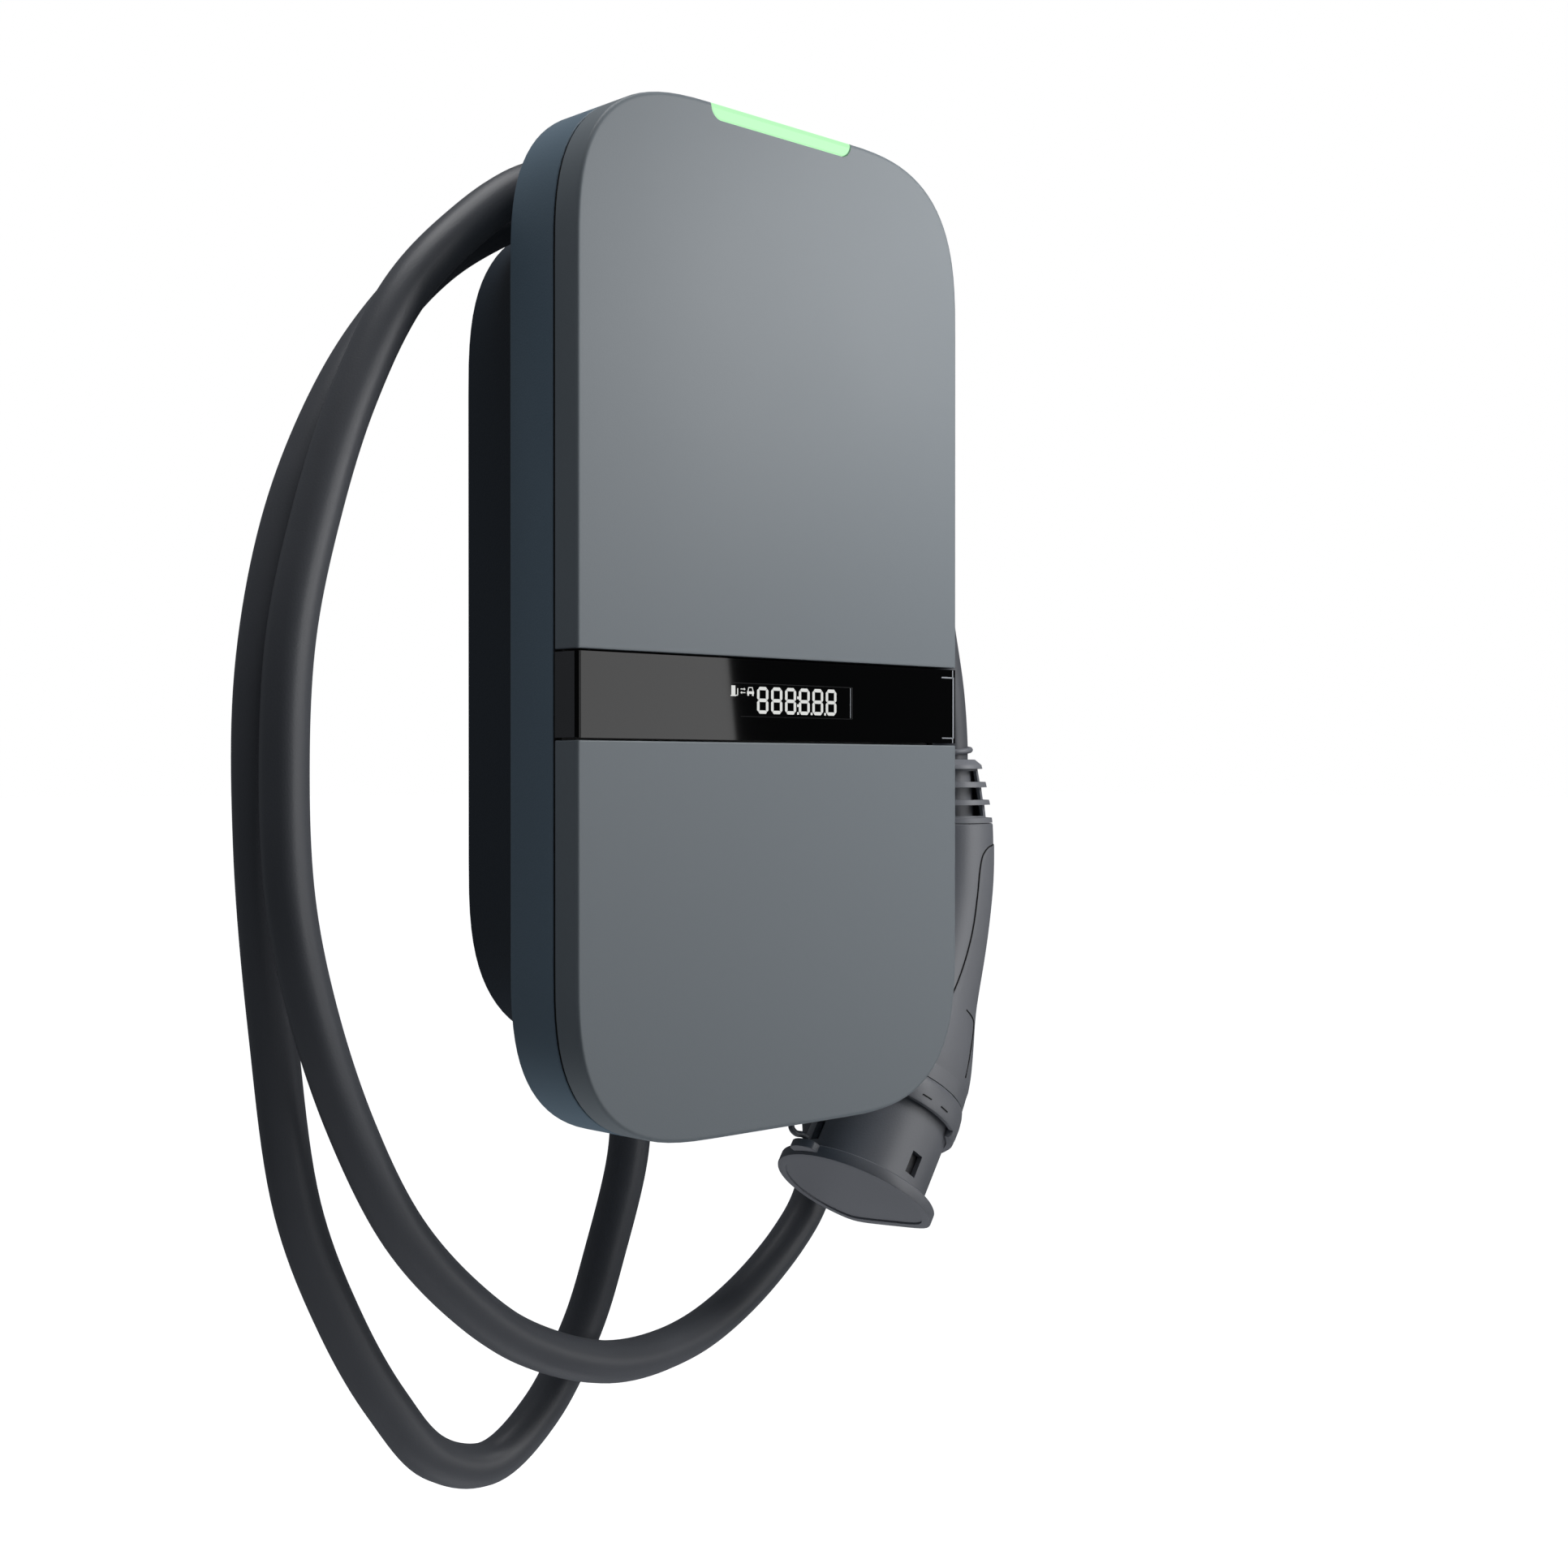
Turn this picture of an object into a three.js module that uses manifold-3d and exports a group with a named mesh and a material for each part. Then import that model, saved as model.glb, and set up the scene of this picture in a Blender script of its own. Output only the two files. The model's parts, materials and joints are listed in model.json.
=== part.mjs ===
// Wall-mounted charging unit for electric cars, with its own cable, plug and protective cap.
//
// Millimetres. +X is right, +Y goes into the wall and +Z is up. The origin is the centre of the
// wall plate's back face, so the wall is the plane Y = 0 and the unit stands out toward -Y.
// The cable hangs in two turns over the rear housing, behind the wider front housing.

import * as THREE from "three";
import { mergeVertices } from "three/addons/utils/BufferGeometryUtils.js";
import Module from "manifold-3d";

// ---- driving dimensions ----------------------------------------------------------------

const GAP = 0.3; // left between pieces that touch
const DEPTH = 92; // wall to the face of the covers
const BODY = { width: 180, height: 345, corner: 59.6, power: 2.94 }; // covers and front housing
const REAR = { width: 137, height: 300, corner: 68, power: 2.9 }; // rear housing
const CORNER_STEPS = 5;
const COVER_DEPTH = 11.3;
const FRONT_HOUSING_DEPTH = 24.4;
const WALL = 3; // housing wall
const SKIN = 2.5; // wall of the covers and of the display window
const COVER_BEVEL = 1.5;
const PLATE_THICKNESS = 2; // wall plate
const INNER_PLATE_THICKNESS = 2.5;
const BAND_TOP = -11.7; // display window, which crosses the whole front
const BAND_BOTTOM = -39.8;
const LIGHT_HALF_WIDTH = 33;
const LIGHT_BOTTOM = 167.2;
const BOARD_THICKNESS = 1.6;
const BOARD_FRONT = -12; // component side of the main board
const CABLE_RADIUS = 7.5;
const CABLE_STEPS = 80;
const CABLE_SIDES = 8;
const BORE = CABLE_RADIUS + 0.4; // bore of a piece that the cable runs through
const GLAND = { x: -12, y: -25 };
const REAR_FLOOR = -REAR.height / 2; // outer face of the rear housing's bottom
const WIRE_RADIUS = 1.8;
const TERMINAL_PITCH = 7.5;
const LEASH_RADIUS = 1.2;
const PLUG_TOP = [143.9, -41.05, -44.9]; // top of the plug's boot, on the cable's axis
const BOOT_LENGTH = 26;
const HANDLE_WALL = 4;
const INLAY_DEPTH = 2;
const HEAD_START = [-39.5, -8.05, -128.2]; // from the boot's top to the head's first face
const HEAD_TILT = THREE.MathUtils.degToRad(36.3); // from straight down, toward -X
const HEAD_LEAN = THREE.MathUtils.degToRad(-4.5); // about X, away from the wall
const COLLAR = { radius: 28.5, length: 13.2, lip: 15.8 };
const NOSE = { radius: 25.5, flat: 21.5, wall: 2.5, end: 45.4 }; // flat: from the axis to its flat side
const CAP = { radius: 31.6, flat: 25.3, rim: 43.7, floor: 47, end: 48.5 };

// ---- depths worked out from them -------------------------------------------------------

const COVER_FACE = -DEPTH;
const SEAM = COVER_FACE + COVER_DEPTH;
const FRONT_HOUSING_BACK = SEAM + FRONT_HOUSING_DEPTH;
const RING_FRONT = FRONT_HOUSING_BACK - WALL; // front housing's rear ring, its front side
const GASKET_FRONT = RING_FRONT - GAP - 1.2;
const FLANGE_FRONT = GASKET_FRONT - GAP - 2; // flange of the rear housing
const REAR_BACK = -PLATE_THICKNESS - GAP;
const INNER_PLATE_FRONT = SEAM + 1.1;
const INNER_PLATE_BACK = INNER_PLATE_FRONT + INNER_PLATE_THICKNESS;
const COMPONENT_BACK = BOARD_FRONT - GAP;

// ---- the cable's route, top of the unit last -------------------------------------------
// From inside the gland down to the first low loop, up the left, over the rear housing and
// down the right; then the second, wider turn in front of it, and down into the plug.

const CABLE_ROUTE = [
  [-12, -25, -146], [-12, -25, -168], [-13, -24, -190], [-20, -20, -223], [-28, -16.5, -250],
  [-44, -13.5, -277], [-66, -13, -291], [-90, -14, -284], [-110, -15, -261], [-129, -17, -230],
  [-147, -21, -190], [-160, -28, -131], [-168, -33, -72], [-168, -34, -20], [-158, -32, 26],
  [-142, -30, 63], [-122, -27, 93], [-95, -24, 120.8], [-66, -22, 139.8], [-34, -22, 156],
  [0, -22, 160.5], [34, -22, 157], [60, -20, 143], [75, -18, 116], [80, -16, 78],
  [79.5, -16, 0], [79.5, -15, -60], [83, -12, -104], [88.5, -9.5, -132], [94, -7.8, -158],
  [101, -7.8, -184], [102.5, -7.8, -203], [96.5, -7.9, -222.6], [82, -9.5, -237], [52, -14, -253.6],
  [15, -22.5, -262], [-29, -32, -259.5], [-67, -35, -245], [-95, -38.5, -225],
  [-121, -42, -198], [-143, -46.5, -162], [-159, -50, -124], [-168, -52, -89],
  [-170, -52, -49], [-167, -51, -9], [-157, -49, 29], [-143, -47, 66], [-123, -45, 101.8],
  [-100, -43, 126], [-72, -41, 146.6], [-38, -40, 157.5], [0, -40, 160.5], [38, -40, 156.5],
  [72, -40, 141], [102, -40, 109], [123, -40, 66], [137.5, -40.2, 6], [141.9, -40.9, -18],
  [143.8, -41.05, -38], [143.9, -41.05, -46], [143.9, -41.05, -57], [143.9, -41.05, -68],
  [143.9, -41.05, -78.8],
];

const LEASH_ROUTE = [
  [52.4, -50.6, -187.2], [50.2, -50.3, -186], [47.3, -49.8, -185.2], [45.9, -48.9, -183],
  [48, -48, -178.5], [56, -47.5, -167.5], [69, -47, -150], [82, -46.2, -128], [93, -45, -106],
  [102, -43.5, -83], [109, -42.4, -62], [117.5, -41.6, -48.5], [126, -41.2, -42.8],
  [133.9, -41.05, -41.4],
];

// ---- solids ----------------------------------------------------------------------------

const wasm = await Module();
wasm.setup();

// Shared vertices, no empty triangles, faces outward: what a closed body needs.
function closed(geometry) {
  const bare = geometry.clone();
  for (const name of Object.keys(bare.attributes)) {
    if (name !== "position") bare.deleteAttribute(name);
  }
  const merged = mergeVertices(bare, 1e-4);
  const corner = [0, 1, 2].map(() => new THREE.Vector3());
  const index = merged.index.array;
  const kept = [];
  let volume = 0;
  for (let i = 0; i < index.length; i += 3) {
    const [a, b, c] = [index[i], index[i + 1], index[i + 2]];
    if (a === b || b === c || c === a) continue;
    [a, b, c].forEach((vertex, k) => corner[k].fromBufferAttribute(merged.attributes.position, vertex));
    volume += corner[0].dot(corner[1].clone().cross(corner[2]));
    kept.push(a, b, c);
  }
  if (volume < 0) kept.reverse();
  merged.setIndex(kept);
  return merged;
}

function toSolid(geometry) {
  const { attributes, index } = closed(geometry);
  return new wasm.Manifold(new wasm.Mesh({
    numProp: 3,
    vertProperties: new Float32Array(attributes.position.array),
    triVerts: new Uint32Array(index.array),
  }));
}

function toGeometry(manifold) {
  const { vertProperties, triVerts } = manifold.getMesh();
  const geometry = new THREE.BufferGeometry();
  geometry.setAttribute("position", new THREE.BufferAttribute(vertProperties, 3));
  geometry.setIndex(new THREE.BufferAttribute(triVerts, 1));
  return geometry;
}

const join = (...geometries) => toGeometry(geometries.map(toSolid).reduce((a, b) => a.add(b)));
const cut = (body, ...tools) =>
  toGeometry(tools.map(toSolid).reduce((a, b) => a.subtract(b), toSolid(body)));
const common = (a, b) => toGeometry(toSolid(a).intersect(toSolid(b)));

// A rectangle with superelliptic corners, in X and Z, drawn inward by an inset.
function outline({ width, height, corner, power }, inset = 0) {
  const reach = corner - inset;
  const points = [];
  for (let quarter = 0; quarter < 4; quarter += 1) {
    const sx = quarter === 0 || quarter === 3 ? 1 : -1;
    const sz = quarter < 2 ? 1 : -1;
    for (let step = 0; step <= CORNER_STEPS; step += 1) {
      const turn = (quarter % 2 ? CORNER_STEPS - step : step) * (Math.PI / 2 / CORNER_STEPS);
      const x = width / 2 - corner + reach * Math.cos(turn) ** (2 / power);
      const z = height / 2 - corner + reach * Math.sin(turn) ** (2 / power);
      points.push(new THREE.Vector2(sx * x, sz * z));
    }
  }
  return new THREE.Shape(points);
}

// An outline given thickness between two depths.
function slab(shape, front, back) {
  const geometry = new THREE.ExtrudeGeometry(shape, { depth: back - front, bevelEnabled: false });
  return geometry.rotateX(Math.PI / 2).translate(0, back, 0);
}

function ring(size, outerInset, innerInset, front, back) {
  const shape = outline(size, outerInset);
  shape.holes.push(outline(size, innerInset));
  return slab(shape, front, back);
}

function box([x0, x1], [y0, y1], [z0, z1]) {
  const geometry = new THREE.BoxGeometry(x1 - x0, y1 - y0, z1 - z0);
  return geometry.translate((x0 + x1) / 2, (y0 + y1) / 2, (z0 + z1) / 2);
}

// A round bar along Y (into the wall) or along Z.
function barY(radius, [y0, y1], x, z, sides = 12) {
  return new THREE.CylinderGeometry(radius, radius, y1 - y0, sides).translate(x, (y0 + y1) / 2, z);
}

function barZ(radius, [z0, z1], x, y, sides = 16) {
  const geometry = new THREE.CylinderGeometry(radius, radius, z1 - z0, sides);
  return geometry.rotateX(Math.PI / 2).translate(x, y, (z0 + z1) / 2);
}

// A turned piece about its own Y axis, from [radius, height] pairs that close on themselves.
function turned(profile, sides = 20) {
  const points = [...profile, profile[0]].map(([radius, height]) => new THREE.Vector2(radius, height));
  return new THREE.LatheGeometry(points, sides);
}

function turnedZ(profile, x, y, sides = 20) {
  return turned(profile, sides).rotateX(Math.PI / 2).translate(x, y, 0);
}

// A tube along a curve, its section a regular polygon.
function tube(points, radius, steps, sides) {
  const section = new THREE.Shape();
  for (let side = 0; side < sides; side += 1) {
    const turn = (side / sides) * 2 * Math.PI;
    const [x, y] = [radius * Math.cos(turn), radius * Math.sin(turn)];
    if (side === 0) section.moveTo(x, y);
    else section.lineTo(x, y);
  }
  const path = new THREE.CatmullRomCurve3(points.map((point) => new THREE.Vector3(...point)));
  return new THREE.ExtrudeGeometry(section, { steps, extrudePath: path, bevelEnabled: false });
}

// ---- materials -------------------------------------------------------------------------

const finish = (color, roughness, metalness = 0) =>
  new THREE.MeshStandardMaterial({ color, roughness, metalness });

const MATERIAL = {
  cover: finish(0x7d8387, 0.45),
  front: finish(0x24343c, 0.5),
  rear: finish(0x141a22, 0.55),
  gloss: finish(0x050506, 0.08),
  lcd: finish(0x9aa0a4, 0.3),
  light: finish(0xc4ffc4, 0.4),
  dark: finish(0x2a2c30, 0.6),
  sheath: finish(0x303136, 0.5),
  plug: finish(0x4c4f54, 0.5),
  grip: finish(0x3d3f44, 0.7),
  rubber: finish(0x1c1c1e, 0.85),
  steel: finish(0xb4b8bc, 0.35, 1),
  board: finish(0x1f5a38, 0.5),
  relay: finish(0x202428, 0.4),
  copper: finish(0xb5763c, 0.4, 1),
  brass: finish(0xc9a85a, 0.35, 1),
  terminal: finish(0x8c9094, 0.5),
};

const WIRES = [
  { name: "wire_l1", turn: 180, material: finish(0x6b4226, 0.5) },
  { name: "wire_l2", turn: 252, material: finish(0x1a1a1a, 0.5) },
  { name: "wire_l3", turn: 108, material: finish(0x8a8d90, 0.5) },
  { name: "wire_n", turn: 324, material: finish(0x2a5ea8, 0.5) },
  { name: "wire_pe", turn: 36, material: finish(0x6f9a2a, 0.5) },
]; // turn: degrees about the cable's axis, where the wire leaves the sheath

function piece(name, geometry, material) {
  const shape = closed(geometry);
  shape.computeVertexNormals();
  const mesh = new THREE.Mesh(shape, material);
  mesh.name = name;
  return mesh;
}

// Pan-head screws along Y, their heads toward the front.
function screws(name, places, headBack, tip, radius = 1.5) {
  return places.map(([x, z], i) => {
    const head = barY(radius * 2, [headBack - 2, headBack], x, z, 10);
    const shank = barY(radius, [headBack - 1, tip], x, z, 6);
    return piece(`${name}_${i + 1}`, join(head, shank), MATERIAL.steel);
  });
}

// ---- places that two pieces share ------------------------------------------------------

const fourCorners = (x, z) => [[-x, z], [x, z], [-x, -z], [x, -z]];
const PLATE_SCREWS = fourCorners(81.8, 62);
const FLANGE_SCREWS = fourCorners(72.6, 30);
const STANDOFFS = [[-40, 105], [40, 105], [-44, -60], [44, -60]];
const PLATE_FIXINGS = [[0, 130], [0, -137]];
const COVER_PINS = {
  upper: [[-55, 130], [55, 130], [-72, 20], [72, 20]],
  lower: [[-55, -130], [55, -130], [-72, -62], [72, -62]],
};
const OUTPUT_CENTRE = GLAND.x; // middle of each terminal block
const SUPPLY_CENTRE = 29.7;
const LCD = { x: [-27, 37], z: [-34.5, -17.5] };

// ---- enclosure -------------------------------------------------------------------------

function wallPlate() {
  const plate = slab(outline({ width: 90, height: 276, corner: 12, power: 2 }), -PLATE_THICKNESS, 0);
  const wallHoles = [[-30, 100], [30, 100], [-30, -100], [30, -100]];
  const holes = wallHoles.map(([x, z]) => barY(2.6, [-PLATE_THICKNESS - 1, 1], x, z, 10));
  const fixings = PLATE_FIXINGS.map(([x, z]) => barY(2, [-PLATE_THICKNESS - 1, 1], x, z, 10));
  return piece("wall_plate", cut(plate, ...holes, ...fixings), MATERIAL.steel);
}

function rearHousing() {
  const shell = slab(outline(REAR), FLANGE_FRONT + 0.5, REAR_BACK);
  const flange = slab(outline(REAR, -8), FLANGE_FRONT, FLANGE_FRONT + 2);
  const entryPad = box([-30, 40], [-45, -6], [REAR_FLOOR, REAR_FLOOR + 6]);
  const inside = slab(outline(REAR, WALL), FLANGE_FRONT - 1, REAR_BACK - WALL);
  const entryPocket = box([-29, 39], [-44, -7], [REAR_FLOOR + WALL, REAR_FLOOR + 11]);
  const glandHole = barZ(12.3, [REAR_FLOOR - 1, REAR_FLOOR + 5], GLAND.x, GLAND.y, 24);
  const supplyHole = barZ(8, [REAR_FLOOR - 1, REAR_FLOOR + 5], 24, -20, 20);
  const holes = [
    ...FLANGE_SCREWS.map(([x, z]) => barY(1.8, [FLANGE_FRONT - 1, FLANGE_FRONT + 3], x, z, 8)),
    ...PLATE_FIXINGS.map(([x, z]) => barY(2.3, [REAR_BACK - WALL - 1, REAR_BACK + 1], x, z, 8)),
  ];
  const blank = join(shell, flange, entryPad);
  const hollow = cut(blank, inside, entryPocket, glandHole, supplyHole, ...holes);
  const boardBack = BOARD_FRONT + BOARD_THICKNESS;
  const posts = STANDOFFS.map(([x, z]) => barY(4, [boardBack + GAP, REAR_BACK - WALL + 1], x, z, 8));
  const postHoles = STANDOFFS.map(([x, z]) => barY(1.4, [boardBack, REAR_BACK - WALL], x, z, 6));
  return piece("rear_housing", cut(join(hollow, ...posts), ...postHoles), MATERIAL.rear);
}

function frontHousing() {
  const side = ring(BODY, 0, WALL, SEAM + GAP, FRONT_HOUSING_BACK);
  const rearRing = slab(outline(BODY, 1), RING_FRONT, FRONT_HOUSING_BACK);
  const rearOpening = slab(outline(REAR, -GAP), RING_FRONT - 1, FRONT_HOUSING_BACK + 1);
  const posts = PLATE_SCREWS.map(([x, z]) => barY(4, [INNER_PLATE_BACK + GAP, RING_FRONT + 1], x, z, 10));
  const pilots = [
    ...PLATE_SCREWS.map(([x, z]) => barY(1.8, [INNER_PLATE_BACK, INNER_PLATE_BACK + 12], x, z, 10)),
    ...FLANGE_SCREWS.map(([x, z]) => barY(1.8, [RING_FRONT - 1, RING_FRONT + 2.2], x, z, 10)),
  ];
  const housing = cut(join(side, rearRing, ...posts), rearOpening, ...pilots);
  return piece("front_housing", housing, MATERIAL.front);
}

function housingGasket() {
  const band = ring(REAR, -7.5, -1, GASKET_FRONT, GASKET_FRONT + 1.2);
  const holes = FLANGE_SCREWS.map(([x, z]) => barY(1.9, [GASKET_FRONT - 1, GASKET_FRONT + 2], x, z, 10));
  return piece("housing_gasket", cut(band, ...holes), MATERIAL.rubber);
}

function innerPlate() {
  const plate = slab(outline(BODY, WALL + GAP), INNER_PLATE_FRONT, INNER_PLATE_BACK);
  const through = [INNER_PLATE_FRONT - 1, INNER_PLATE_BACK + 1];
  const ribbonSlot = box([-8, 18], through, [-52, -46]);
  const lightSlot = box([-12, 12], through, [138, 142]);
  const screwHoles = PLATE_SCREWS.map(([x, z]) => barY(1.8, through, x, z, 10));
  const pinHoles = [...COVER_PINS.upper, ...COVER_PINS.lower].map(([x, z]) => barY(3.4, through, x, z, 8));
  return piece("inner_plate", cut(plate, ribbonSlot, lightSlot, ...screwHoles, ...pinHoles), MATERIAL.dark);
}

// The covers and the display window are slices of one hollow shell with a bevelled face.
function coverSlice([z0, z1]) {
  const face = new THREE.ExtrudeGeometry(outline(BODY), {
    depth: COVER_DEPTH + 4, bevelThickness: COVER_BEVEL, bevelSize: COVER_BEVEL,
    bevelOffset: -COVER_BEVEL, bevelSegments: 1,
  });
  face.rotateX(Math.PI / 2).translate(0, COVER_FACE + COVER_BEVEL + COVER_DEPTH + 4, 0);
  const width = BODY.width / 2 + 1;
  const slice = common(face, box([-width, width], [COVER_FACE - 1, SEAM], [z0, z1]));
  const inside = slab(outline(BODY, SKIN), COVER_FACE + SKIN, SEAM + 1);
  const insideSlice = common(inside, box([-width, width], [COVER_FACE, SEAM + 2], [z0 + SKIN, z1 - SKIN]));
  return cut(slice, insideSlice);
}

const pinsOf = (places) =>
  places.map(([x, z]) => barY(3, [COVER_FACE + 1, INNER_PLATE_BACK - 0.4], x, z, 8));

function upperCover() {
  const shell = coverSlice([BAND_TOP + 0.35, BODY.height / 2 + 1]);
  const reach = LIGHT_HALF_WIDTH + GAP;
  const lightNotch = box([-reach, reach], [COVER_FACE - 1, SEAM + 1], [LIGHT_BOTTOM - GAP, 180]);
  return piece("upper_cover", join(cut(shell, lightNotch), ...pinsOf(COVER_PINS.upper)), MATERIAL.cover);
}

function lowerCover() {
  const shell = coverSlice([-BODY.height / 2 - 1, BAND_BOTTOM - 0.35]);
  return piece("lower_cover", join(shell, ...pinsOf(COVER_PINS.lower)), MATERIAL.cover);
}

function displayWindow() {
  const shell = coverSlice([BAND_BOTTOM + 0.35, BAND_TOP - 0.35]);
  return piece("display_window", shell, MATERIAL.gloss);
}

// ---- display, status light and electronics ---------------------------------------------

function lcdModule() {
  const glass = box(LCD.x, [COVER_FACE + SKIN + GAP, SEAM - 2.2], LCD.z);
  return piece("lcd_module", glass, MATERIAL.lcd);
}

function displayBoard() {
  const [left, right] = LCD.x;
  const height = [BAND_BOTTOM + 3.5, BAND_TOP - 3.5];
  const board = box([left - 6, right + 6], [SEAM - 1.9, SEAM - 0.3], height);
  return piece("display_board", board, MATERIAL.board);
}

function lightGuide() {
  const face = slab(outline(BODY), COVER_FACE, SEAM);
  const bar = common(
    face, box([-LIGHT_HALF_WIDTH, LIGHT_HALF_WIDTH], [COVER_FACE - 1, SEAM + 1], [LIGHT_BOTTOM, 180]),
  );
  const stem = box([-28, 28], [COVER_FACE + 4, COVER_FACE + 8.5], [158, LIGHT_BOTTOM + 1]);
  return piece("led_light_guide", join(bar, stem), MATERIAL.light);
}

function lightBoard() {
  const board = box([-30, 30], [COVER_FACE + 5.5, COVER_FACE + 7.1], [146, 155]);
  const diodes = [-20, -10, 0, 10, 20].map((x) =>
    box([x - 2, x + 2], [COVER_FACE + 5, COVER_FACE + 7.5], [154, 157.5]));
  return piece("led_board", join(board, ...diodes), MATERIAL.board);
}

function mainBoard() {
  const board = box([-50, 50], [BOARD_FRONT, BOARD_FRONT + BOARD_THICKNESS], [-132, 115]);
  const holes = STANDOFFS.map(([x, z]) => barY(1.6, [BOARD_FRONT - 1, BOARD_FRONT + 3], x, z, 8));
  return piece("main_board", cut(board, ...holes), MATERIAL.board);
}

function relay(name, x) {
  const can = box([x, x + 32], [-44, COMPONENT_BACK], [-48, -18]);
  const recess = box([x + 3, x + 29], [-45, -43.2], [-45, -21]);
  return piece(name, cut(can, recess), MATERIAL.relay);
}

function energyMeter() {
  const base = box([2, 38], [-34, COMPONENT_BACK], [35, 92]);
  const head = box([5, 35], [-40, -33], [40, 78]);
  return piece("energy_meter", join(base, head), MATERIAL.terminal);
}

function powerSupply() {
  const core = box([-38, -10], [-36, COMPONENT_BACK], [48, 92]);
  const coil = box([-42, -6], [-32, COMPONENT_BACK], [56, 84]);
  return piece("power_supply", join(core, coil), MATERIAL.relay);
}

function currentSensor() {
  const profile = [[8, -126], [12, -126], [12.7, -124.5], [12.7, -115.5], [12, -114], [8, -114]];
  return piece("current_sensor", turnedZ(profile, GLAND.x, GLAND.y, 20), MATERIAL.copper);
}

// Five clamps side by side; the wires come in from below.
const terminalsAt = (centre) => [-2, -1, 0, 1, 2].map((place) => centre + place * TERMINAL_PITCH);

function terminals(name, centre) {
  const half = 2.5 * TERMINAL_PITCH + 1;
  const body = box([centre - half, centre + half], [-34, COMPONENT_BACK], [-100, -78]);
  const entries = terminalsAt(centre).map((x) => barZ(2.4, [-101, -88], x, GLAND.y, 8));
  const screwWells = terminalsAt(centre).map((x) => barY(2, [-35, -30], x, -84, 8));
  return piece(name, cut(body, ...entries, ...screwWells), MATERIAL.terminal);
}

// A wire from the end of the cable's sheath to its own terminal.
function wire({ name, turn, material }, place) {
  const terminal = terminalsAt(OUTPUT_CENTRE)[place];
  const angle = THREE.MathUtils.degToRad(turn);
  const x = GLAND.x + 4.2 * Math.cos(angle);
  const y = GLAND.y + 4.2 * Math.sin(angle);
  const cableEnd = CABLE_ROUTE[0][2] + GAP;
  const route = [
    [x, y, cableEnd], [x, y, -138], [x, y, -126], [x, y, -115],
    [(x + terminal) / 2, (y + GLAND.y) / 2, -109], [terminal, GLAND.y, -102],
    [terminal, GLAND.y, -96], [terminal, GLAND.y, -89],
  ];
  return piece(name, tube(route, WIRE_RADIUS, 12, 6), material);
}

// ---- cable entry -----------------------------------------------------------------------

function glandPieces() {
  const { x, y } = GLAND;
  const top = REAR_FLOOR - GAP;
  const hexagon = barZ(15, [top - 6, top], x, y, 6);
  const shank = barZ(12, [top - 8, REAR_FLOOR + 11], x, y, 24);
  const bore = barZ(BORE + 0.2, [top - 10, REAR_FLOOR + 12], x, y, 24);
  const inner = REAR_FLOOR + WALL + GAP;
  const nut = cut(barZ(15.5, [inner, inner + 5], x, y, 6), barZ(12.3, [inner - 1, inner + 6], x, y, 24));
  const dome = turnedZ([
    [BORE, -174], [10.5, -174], [13, -171], [14, -166], [14, top - 8 - GAP], [11, top - 8 - GAP],
    [11, -168], [BORE, -170],
  ], x, y);
  const seal = turnedZ([[BORE, -167.5], [10.6, -167.5], [10.6, -159], [BORE, -159]], x, y, 20);
  return [
    piece("gland_body", cut(join(hexagon, shank), bore), MATERIAL.dark),
    piece("gland_locknut", nut, MATERIAL.dark),
    piece("gland_dome_nut", dome, MATERIAL.dark),
    piece("gland_seal", seal, MATERIAL.rubber),
  ];
}

// Closed grommet for the supply cable, which is pierced when the unit is installed.
function supplyGrommet() {
  const profile = [
    [0, REAR_FLOOR - 2.5], [10.5, REAR_FLOOR - 2.5], [10.5, REAR_FLOOR - GAP], [7.6, REAR_FLOOR - GAP],
    [7.6, REAR_FLOOR + WALL + GAP], [9.5, REAR_FLOOR + WALL + GAP], [8.5, REAR_FLOOR + 6],
    [5.5, REAR_FLOOR + 6], [5.5, REAR_FLOOR - 1], [0, REAR_FLOOR - 1],
  ];
  return piece("supply_grommet", turnedZ(profile, 24, -20, 20), MATERIAL.rubber);
}

// ---- plug ------------------------------------------------------------------------------
// Built about the top of the boot. The boot hangs straight down, and the handle bends from it to
// the head, whose axis is tilted toward -X and leans away from the wall.

const X_AXIS = new THREE.Vector3(1, 0, 0);
const leaning = (x, y, z) => new THREE.Vector3(x, y, z).applyAxisAngle(X_AXIS, HEAD_LEAN);
const HEAD_AXIS = leaning(-Math.sin(HEAD_TILT), 0, -Math.cos(HEAD_TILT));
const HEAD_OUTWARD = leaning(Math.cos(HEAD_TILT), 0, -Math.sin(HEAD_TILT));
const HEAD_TO_WALL = leaning(0, 1, 0);

const headStart = new THREE.Vector3(...HEAD_START);
const handleCurve = new THREE.CubicBezierCurve3(
  new THREE.Vector3(0, 0, -BOOT_LENGTH),
  new THREE.Vector3(0, 0, -BOOT_LENGTH - 50),
  headStart.clone().addScaledVector(HEAD_AXIS, -24),
  headStart,
);
const HANDLE_LENGTH = handleCurve.getLength();

// Outer radius of the handle along its axis: fractions of its length and radii.
const HANDLE_PROFILE = [
  [0.003, 17.6], [0.05, 17.9], [0.12, 18.2], [0.2, 18.5], [0.3, 18.5], [0.4, 18.6], [0.5, 18.8],
  [0.6, 19.2], [0.68, 20.1], [0.76, 22.1], [0.84, 24.2], [0.92, 26.2], [0.996, 27.1],
];

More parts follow.
